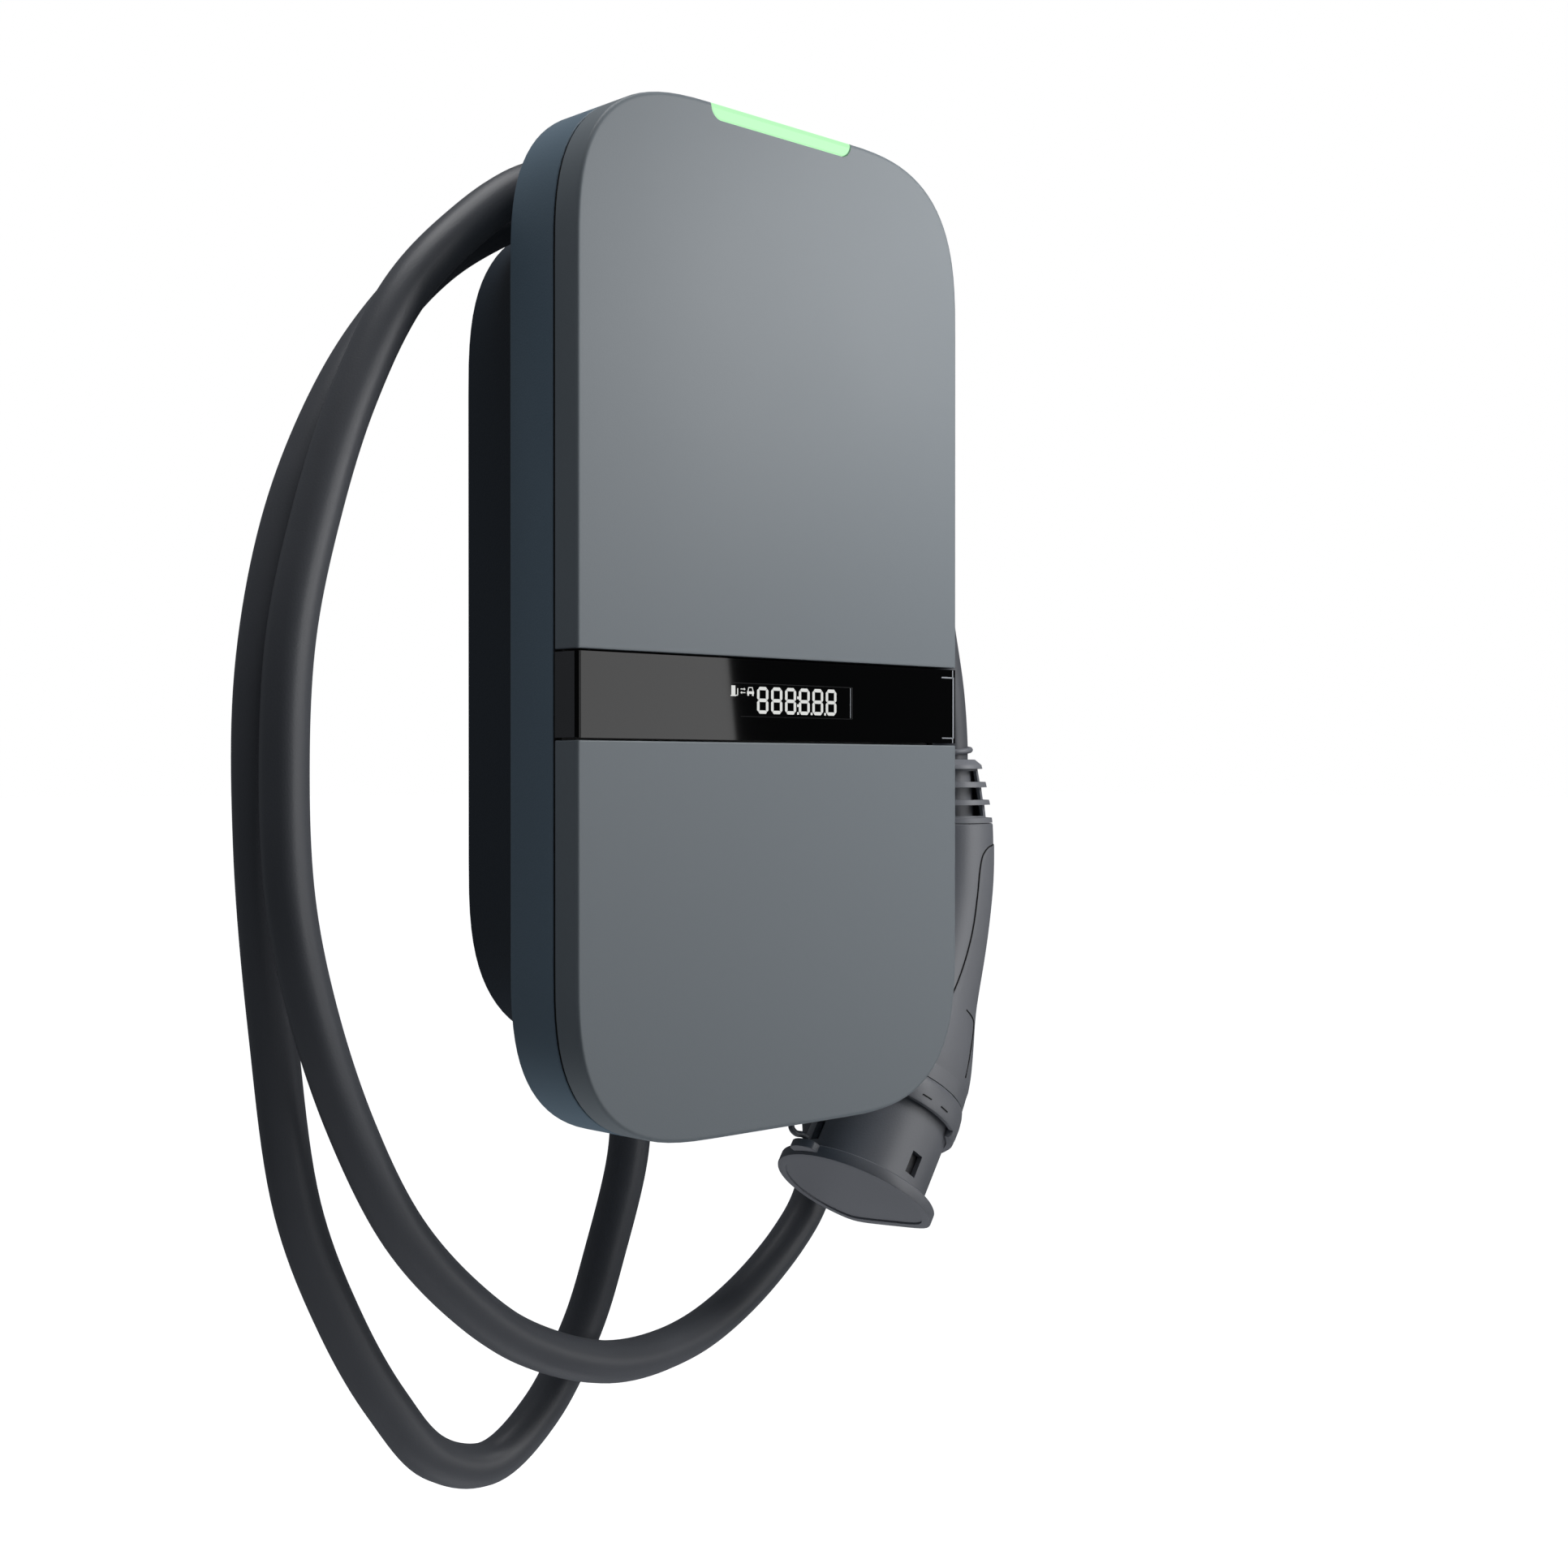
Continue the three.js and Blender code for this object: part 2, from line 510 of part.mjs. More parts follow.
// Bends a straight piece, whose axis is Y, along the handle's curve; its +X side faces outward.
function alongHandle(geometry) {
  const { position } = geometry.attributes;
  const point = new THREE.Vector3();
  for (let i = 0; i < position.count; i += 1) {
    const t = THREE.MathUtils.clamp(position.getY(i) / HANDLE_LENGTH, 0, 1);
    const tangent = handleCurve.getTangentAt(t);
    const outward = tangent.clone().cross(HEAD_TO_WALL).normalize();
    const toWall = outward.clone().cross(tangent);
    handleCurve.getPointAt(t, point);
    point.addScaledVector(outward, position.getX(i)).addScaledVector(toWall, position.getZ(i));
    position.setXYZ(i, point.x, point.y, point.z);
  }
  return geometry;
}

function handlePieces() {
  const outer = HANDLE_PROFILE.map(([part, radius]) => [radius, part * HANDLE_LENGTH]);
  const inner = outer
    .filter(([, height]) => height > 4)
    .map(([radius, height]) => [radius - HANDLE_WALL, height]);
  const endWall = [[inner[0][0], 3.5], [BORE + 0.3, 3.5], [BORE + 0.3, outer[0][1]]];
  const shell = turned([...outer, ...inner.reverse(), ...endWall]);
  const inlayFrom = 6;
  const inlayTo = 0.8 * HANDLE_LENGTH;
  const sector = (reach, from, to) => {
    const corners = [[0, 0], [0.25, -1], [1, -1], [1, 1], [0.25, 1]];
    const wedge = new THREE.Shape(corners.map(([x, y]) => new THREE.Vector2(x * reach, y * reach)));
    const block = new THREE.ExtrudeGeometry(wedge, { depth: to - from, bevelEnabled: false });
    return block.rotateX(-Math.PI / 2).translate(0, from, 0);
  };
  const skinOf = (depth) => turned([
    ...outer.map(([radius, height]) => [radius + 1, height]),
    ...[...outer].reverse().map(([radius, height]) => [radius - depth, height]),
  ]);
  const inlayBlank = turned([
    ...outer,
    ...[...outer].reverse().map(([radius, height]) => [radius - INLAY_DEPTH, height]),
  ]);
  const inlay = common(inlayBlank, sector(40, inlayFrom + GAP, inlayTo - GAP));
  const recess = common(skinOf(INLAY_DEPTH + GAP), sector(42, inlayFrom, inlayTo).translate(-GAP, 0, 0));
  const half = (side) => {
    const keep = side > 0 ? [GAP / 2, 50] : [-50, -GAP / 2];
    return alongHandle(cut(common(shell, box([-50, 50], [-5, HANDLE_LENGTH + 5], keep)), recess));
  };
  return [
    piece("handle_shell_front", half(-1), MATERIAL.plug),
    piece("handle_shell_back", half(1), MATERIAL.plug),
    piece("grip_inlay", alongHandle(inlay), MATERIAL.grip),
  ];
}

// Ribbed boot: a tapered cage with four rings around a narrow sleeve, joined at both ends. Three
// rows of windows open the cage except on its outward side and along a web opposite. Radii are
// paired with distances from the boot's top.
const BOOT_OUTSIDE = [
  [10.4, 0], [12.9, 2.1], [13.4, 3.8], [11.4, 3.9], [12.3, 9], [14.7, 9.1], [15.2, 11.3],
  [12.9, 11.4], [13.6, 16.3], [16.1, 16.4], [16.6, 18.4], [14.2, 18.5], [14.8, 23.6],
  [17.3, 23.7], [17.5, 25.7],
];
const BOOT_CAVITY = [[9, 4.6], [10.3, 4.6], [13.5, 23], [9.9, 23]];
const BOOT_WINDOWS = [[3.9, 9.05], [11.4, 16.35], [18.5, 23.65]];

function strainBoot() {
  const cage = turned([...BOOT_OUTSIDE, [BORE, 25.7], [BORE, 0]], 24);
  const windows = BOOT_WINDOWS.flatMap(([top, bottom]) => [-1, 1].map((side) => {
    const height = [Math.max(top, 4.7), Math.min(bottom, 22.9)];
    const opening = turned([[9.9, height[0]], [20, height[0]], [20, height[1]], [9.9, height[1]]], 24);
    return common(opening, box([-25, 3.9], height, side > 0 ? [3.3, 30] : [-30, -3.3]));
  }));
  const blank = cut(cage, turned(BOOT_CAVITY, 24), ...windows);
  return piece("strain_boot", blank.rotateX(-Math.PI / 2), MATERIAL.rubber);
}

function leashRing() {
  const bore = BORE + 0.3;
  const profile = [[bore, 2.4], [9.2, 2.2], [9.6, 2.8], [9.6, 4], [9.2, 4.6], [bore, 4.4]];
  return piece("leash_ring", turnedZ(profile, 0, 0, 20), MATERIAL.plug);
}

// Clamp that grips the cable's sheath just inside the handle.
function plugClamp() {
  const clamp = turned([[BORE, 5], [12.5, 5], [12.5, 8.5], [BORE, 8.5]], 20);
  return piece("plug_cable_clamp", alongHandle(clamp), MATERIAL.steel);
}

// In the head's own axes its axis is Y, its flat side faces +X, and -Z is the front.
const CONTACTS = [
  { x: 0, z: 0, radius: 3.6 }, { x: 0, z: -13, radius: 3.6 }, { x: 0, z: 13, radius: 3.6 },
  { x: -11, z: -6.7, radius: 3.6 }, { x: -11, z: 6.7, radius: 3.6 },
  { x: 10.5, z: -6, radius: 2.6 }, { x: 10.5, z: 6, radius: 2.6 },
];
const WINDOW_TURNS = [92, 192, 292]; // degrees about the head's axis

// A bar along Y with one flat side.
function flatted(radius, flat, [y0, y1], sides = 28) {
  return common(barY(radius, [y0, y1], 0, 0, sides), box([-radius, flat], [y0, y1], [-radius, radius]));
}

function headCollar() {
  const bore = NOSE.radius + GAP;
  const { radius, length, lip } = COLLAR;
  const band = turned([
    [bore, GAP], [27.1, GAP], [radius, 8], [radius, length - 0.8], [radius - 0.8, length], [bore, length],
  ], 28);
  const lipBand = turned([
    [bore, length - 2], [radius - 0.4, length - 2], [radius - 0.4, lip - 1], [radius - 1.4, lip],
    [bore, lip],
  ], 28);
  const lipAtFlat = common(lipBand, box([14, 40], [0, 20], [-40, 40]));
  return piece("head_collar", join(band, lipAtFlat), MATERIAL.plug);
}

function noseSleeve() {
  const { radius, flat, wall, end } = NOSE;
  const windows = WINDOW_TURNS.map((degrees) => {
    const tool = box([radius - 6, radius + 6], [29.7, 38.5], [-2.75, 2.75]);
    return tool.rotateY(THREE.MathUtils.degToRad(degrees));
  });
  const outside = flatted(radius, flat, [1.5, end]);
  const inside = flatted(radius - wall, flat - wall, [1, end + 1]);
  return piece("nose_sleeve", cut(outside, inside, ...windows), MATERIAL.plug);
}

function contactCarrier() {
  const inset = NOSE.wall + GAP;
  const blank = flatted(NOSE.radius - inset, NOSE.flat - inset, [8, NOSE.end - 1]);
  const mouths = CONTACTS.map(({ x, z, radius }) => barY(radius - 0.8, [5, NOSE.end + 1], x, z, 10));
  const wells = CONTACTS.map(({ x, z, radius }) => barY(radius + 0.5, [5, NOSE.end - 5], x, z, 10));
  return piece("contact_carrier", cut(blank, ...mouths, ...wells), MATERIAL.dark);
}

function socketContact({ x, z, radius }, i) {
  const profile = [[radius - 1, 6], [radius, 6], [radius, NOSE.end - 5.6], [radius - 1, NOSE.end - 5.6]];
  return piece(`socket_contact_${i + 1}`, turned(profile, 8).translate(x, 0, z), MATERIAL.brass);
}

// Cap with a shallow recess over the nose's end, and a tab that the leash is tied to.
function protectiveCap() {
  const { radius, flat, rim, floor, end } = CAP;
  const blank = flatted(radius, flat, [rim, end]);
  const recess = flatted(NOSE.radius + 0.4, NOSE.flat + 0.4, [rim - 1, floor]);
  const tab = box([-radius - 4.5, -radius + 1], [rim + 0.3, rim + 3.5], [-6, 6]);
  return piece("protective_cap", join(cut(blank, recess), tab), MATERIAL.plug);
}

function capSeal() {
  const from = NOSE.end + GAP;
  const to = CAP.floor - GAP;
  const outside = flatted(NOSE.radius - 0.2, NOSE.flat - 0.2, [from, to], 20);
  const inside = flatted(NOSE.radius - 2.2, NOSE.flat - 2.2, [from - 1, to + 1], 20);
  return piece("cap_seal", cut(outside, inside), MATERIAL.rubber);
}

function plug() {
  const group = new THREE.Group();
  group.position.set(...PLUG_TOP);
  group.add(strainBoot(), leashRing(), plugClamp(), ...handlePieces());
  const head = new THREE.Group();
  const basis = new THREE.Matrix4().makeBasis(HEAD_OUTWARD, HEAD_AXIS, HEAD_TO_WALL);
  head.quaternion.setFromRotationMatrix(basis);
  head.position.set(...HEAD_START);
  head.add(headCollar(), noseSleeve(), contactCarrier(), ...CONTACTS.map(socketContact));
  head.add(protectiveCap(), capSeal());
  group.add(head);
  return group;
}

// ---- the whole unit --------------------------------------------------------------------

const unit = new THREE.Group();

unit.add(
  wallPlate(), rearHousing(), housingGasket(), frontHousing(), innerPlate(),
  upperCover(), lowerCover(), displayWindow(), lcdModule(), displayBoard(), lightGuide(), lightBoard(),
  mainBoard(), relay("relay_1", -40), relay("relay_2", 4), energyMeter(), powerSupply(), currentSensor(),
  terminals("output_terminals", OUTPUT_CENTRE), terminals("supply_terminals", SUPPLY_CENTRE),
  ...WIRES.map(wire), ...glandPieces(), supplyGrommet(),
  ...screws("inner_plate_screw", PLATE_SCREWS, INNER_PLATE_FRONT - GAP, INNER_PLATE_FRONT + 12),
  ...screws("flange_screw", FLANGE_SCREWS, FLANGE_FRONT - GAP, RING_FRONT + 2),
  ...screws("wall_plate_screw", PLATE_FIXINGS, REAR_BACK - WALL - GAP, -0.4, 1.7),
  piece("charging_cable", tube(CABLE_ROUTE, CABLE_RADIUS, CABLE_STEPS, CABLE_SIDES), MATERIAL.sheath),
  piece("cap_leash", tube(LEASH_ROUTE, LEASH_RADIUS, 30, 8), MATERIAL.sheath),
  plug(),
);

export default unit;
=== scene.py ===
"""Looks of a wall-mounted charging unit for electric cars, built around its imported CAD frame."""
import json
import math

import bmesh
import bpy
from mathutils import Matrix, Vector


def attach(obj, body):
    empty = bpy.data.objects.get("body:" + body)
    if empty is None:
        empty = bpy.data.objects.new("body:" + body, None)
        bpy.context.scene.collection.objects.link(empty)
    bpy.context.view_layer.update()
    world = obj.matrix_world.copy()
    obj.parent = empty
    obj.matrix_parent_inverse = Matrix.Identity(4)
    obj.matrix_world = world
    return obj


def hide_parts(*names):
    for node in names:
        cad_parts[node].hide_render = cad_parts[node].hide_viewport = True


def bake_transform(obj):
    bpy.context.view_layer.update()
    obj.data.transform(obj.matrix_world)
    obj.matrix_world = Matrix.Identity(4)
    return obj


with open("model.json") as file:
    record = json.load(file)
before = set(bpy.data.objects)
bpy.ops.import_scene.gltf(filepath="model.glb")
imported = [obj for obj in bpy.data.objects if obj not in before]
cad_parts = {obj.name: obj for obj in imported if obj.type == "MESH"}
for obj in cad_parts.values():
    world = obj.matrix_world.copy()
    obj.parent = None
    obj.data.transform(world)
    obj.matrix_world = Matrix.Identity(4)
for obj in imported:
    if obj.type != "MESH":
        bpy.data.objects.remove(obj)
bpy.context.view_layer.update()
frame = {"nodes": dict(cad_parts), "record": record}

SCENE = bpy.context.scene
MM = 0.001  # shapes are worked out in millimetres

# ---- dimensions, as in the CAD ---------------------------------------------------------

COVER_FACE = -92.0
SEAM = -80.7
HOUSING_FRONT = -79.5
HOUSING_BACK = -56.3
RING_FRONT = -59.3
FLANGE_FRONT = -63.1
REAR_BACK = -2.3
BODY = {"left": -90, "right": 90, "bottom": -172.5, "top": 172.5}
BODY_CORNER = (59.6, 2.94)
REAR = {"left": -68.5, "right": 68.5, "bottom": -150, "top": 150}
REAR_CORNER = (68, 2.9)
BAND_TOP = -11.7
BAND_BOTTOM = -39.8
HALF_SEAM = 0.35
SKIN = 2.5
HOUSING_WALL = 3
COVER_EDGE = 1.3  # rounding of the covers' outer edges
BAND_EDGE = 1.2
GLINT = 0.03  # how far marks and strips stand proud of what they lie on
LIGHT_HALF_WIDTH = 33
LIGHT_BOTTOM = 167.2
CORNER_STEPS = 22
CABLE_RADIUS = 7.5
LEASH_RADIUS = 1.2

PLUG_TOP = (143.9, -41.05, -44.9)
BOOT_LENGTH = 26
HEAD_START = (-39.5, -8.05, -128.2)
HEAD_TILT = math.radians(36.3)
HEAD_LEAN = math.radians(-4.5)
NOSE_RADIUS = 25.5
NOSE_FLAT = 21.5  # axis to the flat side
NOSE_WALL = 2.5
NOSE_END = 45.4
CAP_RADIUS = 31.6
CAP_FLAT = 25.3
CAP_RIM = 43.7
CAP_FLOOR = 47.0
CAP_END = 48.5

CABLE_ROUTE = [
    (-12, -25, -146), (-12, -25, -168), (-13, -24, -190), (-20, -20, -223), (-28, -16.5, -250),
    (-44, -13.5, -277), (-66, -13, -291), (-90, -14, -284), (-110, -15, -261), (-129, -17, -230),
    (-147, -21, -190), (-160, -28, -131), (-168, -33, -72), (-168, -34, -20), (-158, -32, 26),
    (-142, -30, 63), (-122, -27, 93), (-95, -24, 120.8), (-66, -22, 139.8), (-34, -22, 156),
    (0, -22, 160.5), (34, -22, 157), (60, -20, 143), (75, -18, 116), (80, -16, 78),
    (79.5, -16, 0), (79.5, -15, -60), (83, -12, -104), (88.5, -9.5, -132), (94, -7.8, -158),
    (101, -7.8, -184), (102.5, -7.8, -203), (96.5, -7.9, -222.6), (82, -9.5, -237), (52, -14, -253.6),
    (15, -22.5, -262), (-29, -32, -259.5), (-67, -35, -245), (-95, -38.5, -225),
    (-121, -42, -198), (-143, -46.5, -162), (-159, -50, -124), (-168, -52, -89),
    (-170, -52, -49), (-167, -51, -9), (-157, -49, 29), (-143, -47, 66), (-123, -45, 101.8),
    (-100, -43, 126), (-72, -41, 146.6), (-38, -40, 157.5), (0, -40, 160.5), (38, -40, 156.5),
    (72, -40, 141), (102, -40, 109), (123, -40, 66), (137.5, -40.2, 6), (141.9, -40.9, -18),
    (143.8, -41.05, -38), (143.9, -41.05, -46), (143.9, -41.05, -57), (143.9, -41.05, -68),
    (143.9, -41.05, -78.8),
]

LEASH_ROUTE = [
    (52.4, -50.6, -187.2), (50.2, -50.3, -186), (47.3, -49.8, -185.2), (45.9, -48.9, -183),
    (48, -48, -178.5), (56, -47.5, -167.5), (69, -47, -150), (82, -46.2, -128), (93, -45, -106),
    (102, -43.5, -83), (109, -42.4, -62), (117.5, -41.6, -48.5), (126, -41.2, -42.8),
    (133.9, -41.05, -41.4),
]

# ---- camera, light and stage -----------------------------------------------------------


VIEW_PLACE = (-0.4963, -0.605, -0.0511)
VIEW_AIM = Vector((0.6955, 0.7185, -0.00445))
LENS = 47.7
SENSOR = 36

view = bpy.data.cameras.new("view")
view.lens = LENS
view.sensor_width = SENSOR
view.clip_start = 0.01
camera = bpy.data.objects.new("view", view)
camera.location = VIEW_PLACE
camera.rotation_euler = VIEW_AIM.to_track_quat("-Z", "Y").to_euler()
SCENE.collection.objects.link(camera)
SCENE.camera = camera
SCENE.view_settings.view_transform = "Standard"


def softbox(name, place, aim, size, watts, roll=0.0):
    data = bpy.data.lights.new(name, "AREA")
    data.shape = "RECTANGLE"
    data.size, data.size_y = size
    data.energy = watts
    light = bpy.data.objects.new(name, data)
    light.location = place
    facing = (Vector(aim) - Vector(place)).to_track_quat("-Z", "Y")
    light.rotation_euler = (facing.to_matrix() @ Matrix.Rotation(roll, 3, "Z")).to_euler()
    light.visible_camera = False
    SCENE.collection.objects.link(light)
    return light


softbox("key", place=(0.35, -0.45, 0.25), aim=(0, -0.09, 0.1), size=(0.25, 0.25), watts=1.79)
softbox("top", place=(-0.1, -0.05, 1.3), aim=(0, 0, 0), size=(0.8, 0.8), watts=9)
softbox("right", place=(1.2, -0.9, -0.35), aim=(0.1, -0.05, -0.1), size=(0.6, 0.6), watts=1.8)
below = softbox("below", place=(0.04, -0.06, -0.75), aim=(0.05, -0.05, -0.2), size=(0.3, 0.3),
                watts=2.6)
below.visible_glossy = False
strip = softbox("strip", place=(0.55, -1.9, 0.1), aim=(0, -0.05, 0), size=(0.5, 1.6), watts=13)
card = softbox("card", place=(1.49, -2.0, 0.07), aim=(0, -0.09, -0.03), size=(0.355, 0.7),
               watts=4.2, roll=math.radians(5.5))
for light in (strip, card):
    light.visible_diffuse = False  # only mirrored: in the cable, and in the gloss of the band

WORLD_TINT = (0.86, 0.92, 1.0, 1)
WORLD_STRENGTH = 0.11
WHITE = (1, 1, 1, 1)

world = bpy.data.worlds.new("studio")
SCENE.world = world
world.use_nodes = True
nodes, links = world.node_tree.nodes, world.node_tree.links
nodes.clear()
lit = nodes.new("ShaderNodeBackground")
lit.inputs["Color"].default_value = WORLD_TINT
lit.inputs["Strength"].default_value = WORLD_STRENGTH
seen = nodes.new("ShaderNodeBackground")
seen.inputs["Color"].default_value = WHITE
path = nodes.new("ShaderNodeLightPath")
mix = nodes.new("ShaderNodeMixShader")
out = nodes.new("ShaderNodeOutputWorld")
links.new(path.outputs["Is Camera Ray"], mix.inputs["Fac"])
links.new(lit.outputs[0], mix.inputs[1])
links.new(seen.outputs[0], mix.inputs[2])
links.new(mix.outputs[0], out.inputs["Surface"])

# ---- materials -------------------------------------------------------------------------


STRIPE_SCALE = 160
STRIPE_SHARE = 0.55
GRAIN_DEPTH = 0.0002
SMOOTHEST = 0.02


def linear(rgb):
    """Linear light of a colour given as screen values from 0 to 255."""
    return [((c / 255) / 12.92 if c <= 10 else ((c / 255 + 0.055) / 1.055) ** 2.4) for c in rgb]


def material(name, rgb, rough=0.5, metal=0.0, vary=0.05, patch=30, grain=0.0, grain_scale=1500,
             specular=0.5, coat=0.0, glow=0.0, glow_rgb=None, stripe=None, spread=0.06):
    """Procedural finish. The colour varies by vary and the roughness by spread, in patches. A
    moulded finish has a fine grain, and a marked wire has a stripe of a second colour."""
    result = bpy.data.materials.new(name)
    result.use_nodes = True
    tree = result.node_tree
    add, join = tree.nodes.new, tree.links.new
    shader = tree.nodes["Principled BSDF"]
    place = add("ShaderNodeTexCoord")
    noise = add("ShaderNodeTexNoise")
    noise.inputs["Scale"].default_value = patch
    noise.inputs["Detail"].default_value = 4
    join(place.outputs["Object"], noise.inputs["Vector"])
    blend = add("ShaderNodeMix")
    blend.data_type = "RGBA"
    base = linear(rgb)
    if stripe:
        darker, lighter = base, linear(stripe)
        wave = add("ShaderNodeTexWave")
        wave.inputs["Scale"].default_value = STRIPE_SCALE
        join(place.outputs["Object"], wave.inputs["Vector"])
        step = add("ShaderNodeMath")
        step.operation = "GREATER_THAN"
        step.inputs[1].default_value = STRIPE_SHARE
        join(wave.outputs["Fac"], step.inputs[0])
        join(step.outputs[0], blend.inputs["Factor"])
    else:
        darker = [c * (1 - vary) for c in base]
        lighter = [min(1, c * (1 + vary)) for c in base]
        join(noise.outputs["Fac"], blend.inputs["Factor"])
    blend.inputs["A"].default_value = (*darker, 1)
    blend.inputs["B"].default_value = (*lighter, 1)
    join(blend.outputs["Result"], shader.inputs["Base Color"])
    polish = add("ShaderNodeMapRange")
    polish.inputs["To Min"].default_value = max(SMOOTHEST, rough - spread)
    polish.inputs["To Max"].default_value = rough + spread
    join(noise.outputs["Fac"], polish.inputs["Value"])
    join(polish.outputs["Result"], shader.inputs["Roughness"])
    if grain:
        fine = add("ShaderNodeTexNoise")
        fine.inputs["Scale"].default_value = grain_scale
        fine.inputs["Detail"].default_value = 2
        bump = add("ShaderNodeBump")
        bump.inputs["Strength"].default_value = grain
        bump.inputs["Distance"].default_value = GRAIN_DEPTH
        join(place.outputs["Object"], fine.inputs["Vector"])
        join(fine.outputs["Fac"], bump.inputs["Height"])
        join(bump.outputs["Normal"], shader.inputs["Normal"])
    shader.inputs["Metallic"].default_value = metal
    shader.inputs["Specular IOR Level"].default_value = specular
    shader.inputs["Coat Weight"].default_value = coat
    if glow:
        shader.inputs["Emission Color"].default_value = (*linear(glow_rgb or rgb), 1)
        shader.inputs["Emission Strength"].default_value = glow
    return result


PLUG_GREY = (122, 124, 130)
LOOKS = {
    "cover": material("cover_lacquer", (137, 145, 151), 0.45, vary=0.03, patch=9, grain=0.12,
                      specular=0.3),
    "front_shell": material("housing_blue_grey", (119, 140, 156), 0.45, vary=0.05, patch=20, grain=0.2),
    # dark blue, set darker still as painted shade for the shadow cast by the front housing and the cable
    "rear_shell": material("rear_housing_dark_and_painted_shade", (34, 46, 58), 0.5, vary=0.08, patch=20, grain=0.3),
    "display_gloss": material("gloss_black", (2, 2, 2), 0.03, vary=0.2, patch=15, specular=0.15,
                              spread=0.01),
    # the band's gloss black sides, coloured grey: painted reflection
    "band_side_reflection": material("band_side_painted_reflection", (88, 88, 90), 0.4, vary=0.1, patch=15, specular=0.2),
    "lcd": material("display_glass", (7, 8, 10), 0.1, vary=0.1, patch=60),
    "light_guide": material("lit_light_guide", (16, 60, 20), 0.35, patch=40, glow=1.0,
                            glow_rgb=(190, 250, 194), specular=0.1),
    "steel": material("zinc_plate", (150, 152, 156), 0.36, 1.0, 0.12, 55, 0.25, 900),
    "rubber": material("black_rubber", (30, 30, 32), 0.75, vary=0.12, patch=90, grain=0.35),
    "dark_plastic": material("nylon_dark", (44, 45, 49), 0.5, vary=0.08, patch=60, grain=0.3),
    "circuit_board": material("solder_mask", (26, 84, 52), 0.35, vary=0.25, patch=160, coat=0.3),
    "component_black": material("component_case", (36, 38, 42), 0.4, patch=70, grain=0.2),
    "terminal_grey": material("terminal_grey", (150, 153, 156), 0.5, patch=70, grain=0.2),
    "copper": material("wound_copper", (186, 118, 66), 0.35, 1.0, 0.2, 400, 0.6, 700),
    "brass": material("machined_brass", (206, 172, 98), 0.28, 1.0, 0.08, 90, 0.1),
    "wire_brown": material("wire_brown", (108, 64, 36), 0.45, patch=80, grain=0.1),
    "wire_black": material("wire_black", (24, 24, 24), 0.45, patch=80, grain=0.1),
    "wire_grey": material("wire_grey", (138, 140, 143), 0.45, patch=80, grain=0.1),
    "wire_blue": material("wire_blue", (40, 90, 170), 0.45, patch=80, grain=0.1),
    "wire_green_yellow": material("wire_green_yellow", (60, 140, 50), 0.45, stripe=(225, 205, 40)),
    "cable_sheath": material("cable_sheath", (97, 99, 104), 0.42, vary=0.06, patch=60, grain=0.2,
                             specular=0.3),
    "boot_plastic": material("boot_elastomer", (128, 130, 136), 0.5, patch=50, grain=0.25),
    "plug_plastic": material("plug_plastic", PLUG_GREY, 0.45, vary=0.05, patch=30, grain=0.22),
    "grip_rubber": material("grip_soft", PLUG_GREY, 0.55, vary=0.05, patch=40, grain=0.35),
    "cap_plastic": material("cap_plastic", PLUG_GREY, 0.45, vary=0.05, patch=30, grain=0.22),
    "gap": material("shadow_gap", (5, 5, 6), 0.9, vary=0.2),
    "digits": material("display_digits", (50, 50, 50), 0.5, vary=0.02, glow=1.0,
                       glow_rgb=(208, 209, 206)),
    "faint": material("display_edge", (9, 10, 13), 0.5, specular=0.1),
    # glows a little though it is no lamp: painted light
    "bracket": material("bracket_grey_painted_light", (150, 154, 160), 0.4, vary=0.05, glow=0.25),
}
for part in frame["record"]["subparts"]:
    shown = frame["nodes"][part["node"]]
    shown.data.materials.clear()
    shown.data.materials.append(LOOKS[part["material_slot"]])

# ---- shapes: (vertices in mm, faces) ----------------------------------------------------


def outline(left, right, bottom, top, corners, inset=0.0, inset_bottom=None, inset_top=None):
    """Points (x, z) of a panel whose four corners, from top right round to bottom right, are
    (radius, superellipse power). Its edges move inwards by inset."""
    down = inset if inset_bottom is None else inset_bottom
    up = inset if inset_top is None else inset_top
    sides = [(right, top, 1, 1, up), (left, top, -1, 1, up),
             (left, bottom, -1, -1, down), (right, bottom, 1, -1, down)]
    points = []
    for index, ((x, z, sx, sz, inset_z), (radius, power)) in enumerate(zip(sides, corners)):
        reach = max(radius - inset, 0.05)
        for step in range(CORNER_STEPS + 1):
            turn = (CORNER_STEPS - step if index % 2 else step) / CORNER_STEPS * math.pi / 2
            along = reach * max(math.cos(turn), 0) ** (2 / power)
            rise = reach * max(math.sin(turn), 0) ** (2 / power)
            points.append((x - sx * (inset + reach - along), z - sz * (inset_z + reach - rise)))
    return points


def loft(loops, around=False):
    """A skin over loops of points: closed at both ends, or joined last to first if around."""
    count = len(loops[0])
    verts = [point for loop in loops for point in loop]
    faces = []
    for ring in range(len(loops) if around else len(loops) - 1):
        here, there = ring * count, (ring + 1) % len(loops) * count
        for k in range(count):
            after = (k + 1) % count
            faces.append((here + k, here + after, there + after, there + k))
    if not around:
        faces.append(tuple(range(count)))
        faces.append(tuple(range(len(verts) - count, len(verts))))
    return verts, faces


def merged(*shapes):
    verts, faces = [], []
    for more, own in shapes:
        faces += [tuple(k + len(verts) for k in face) for face in own]
        verts += list(more)
    return verts, faces


def placed(shape, matrix):
    verts, faces = shape
    return [tuple(matrix @ Vector(v)) for v in verts], faces


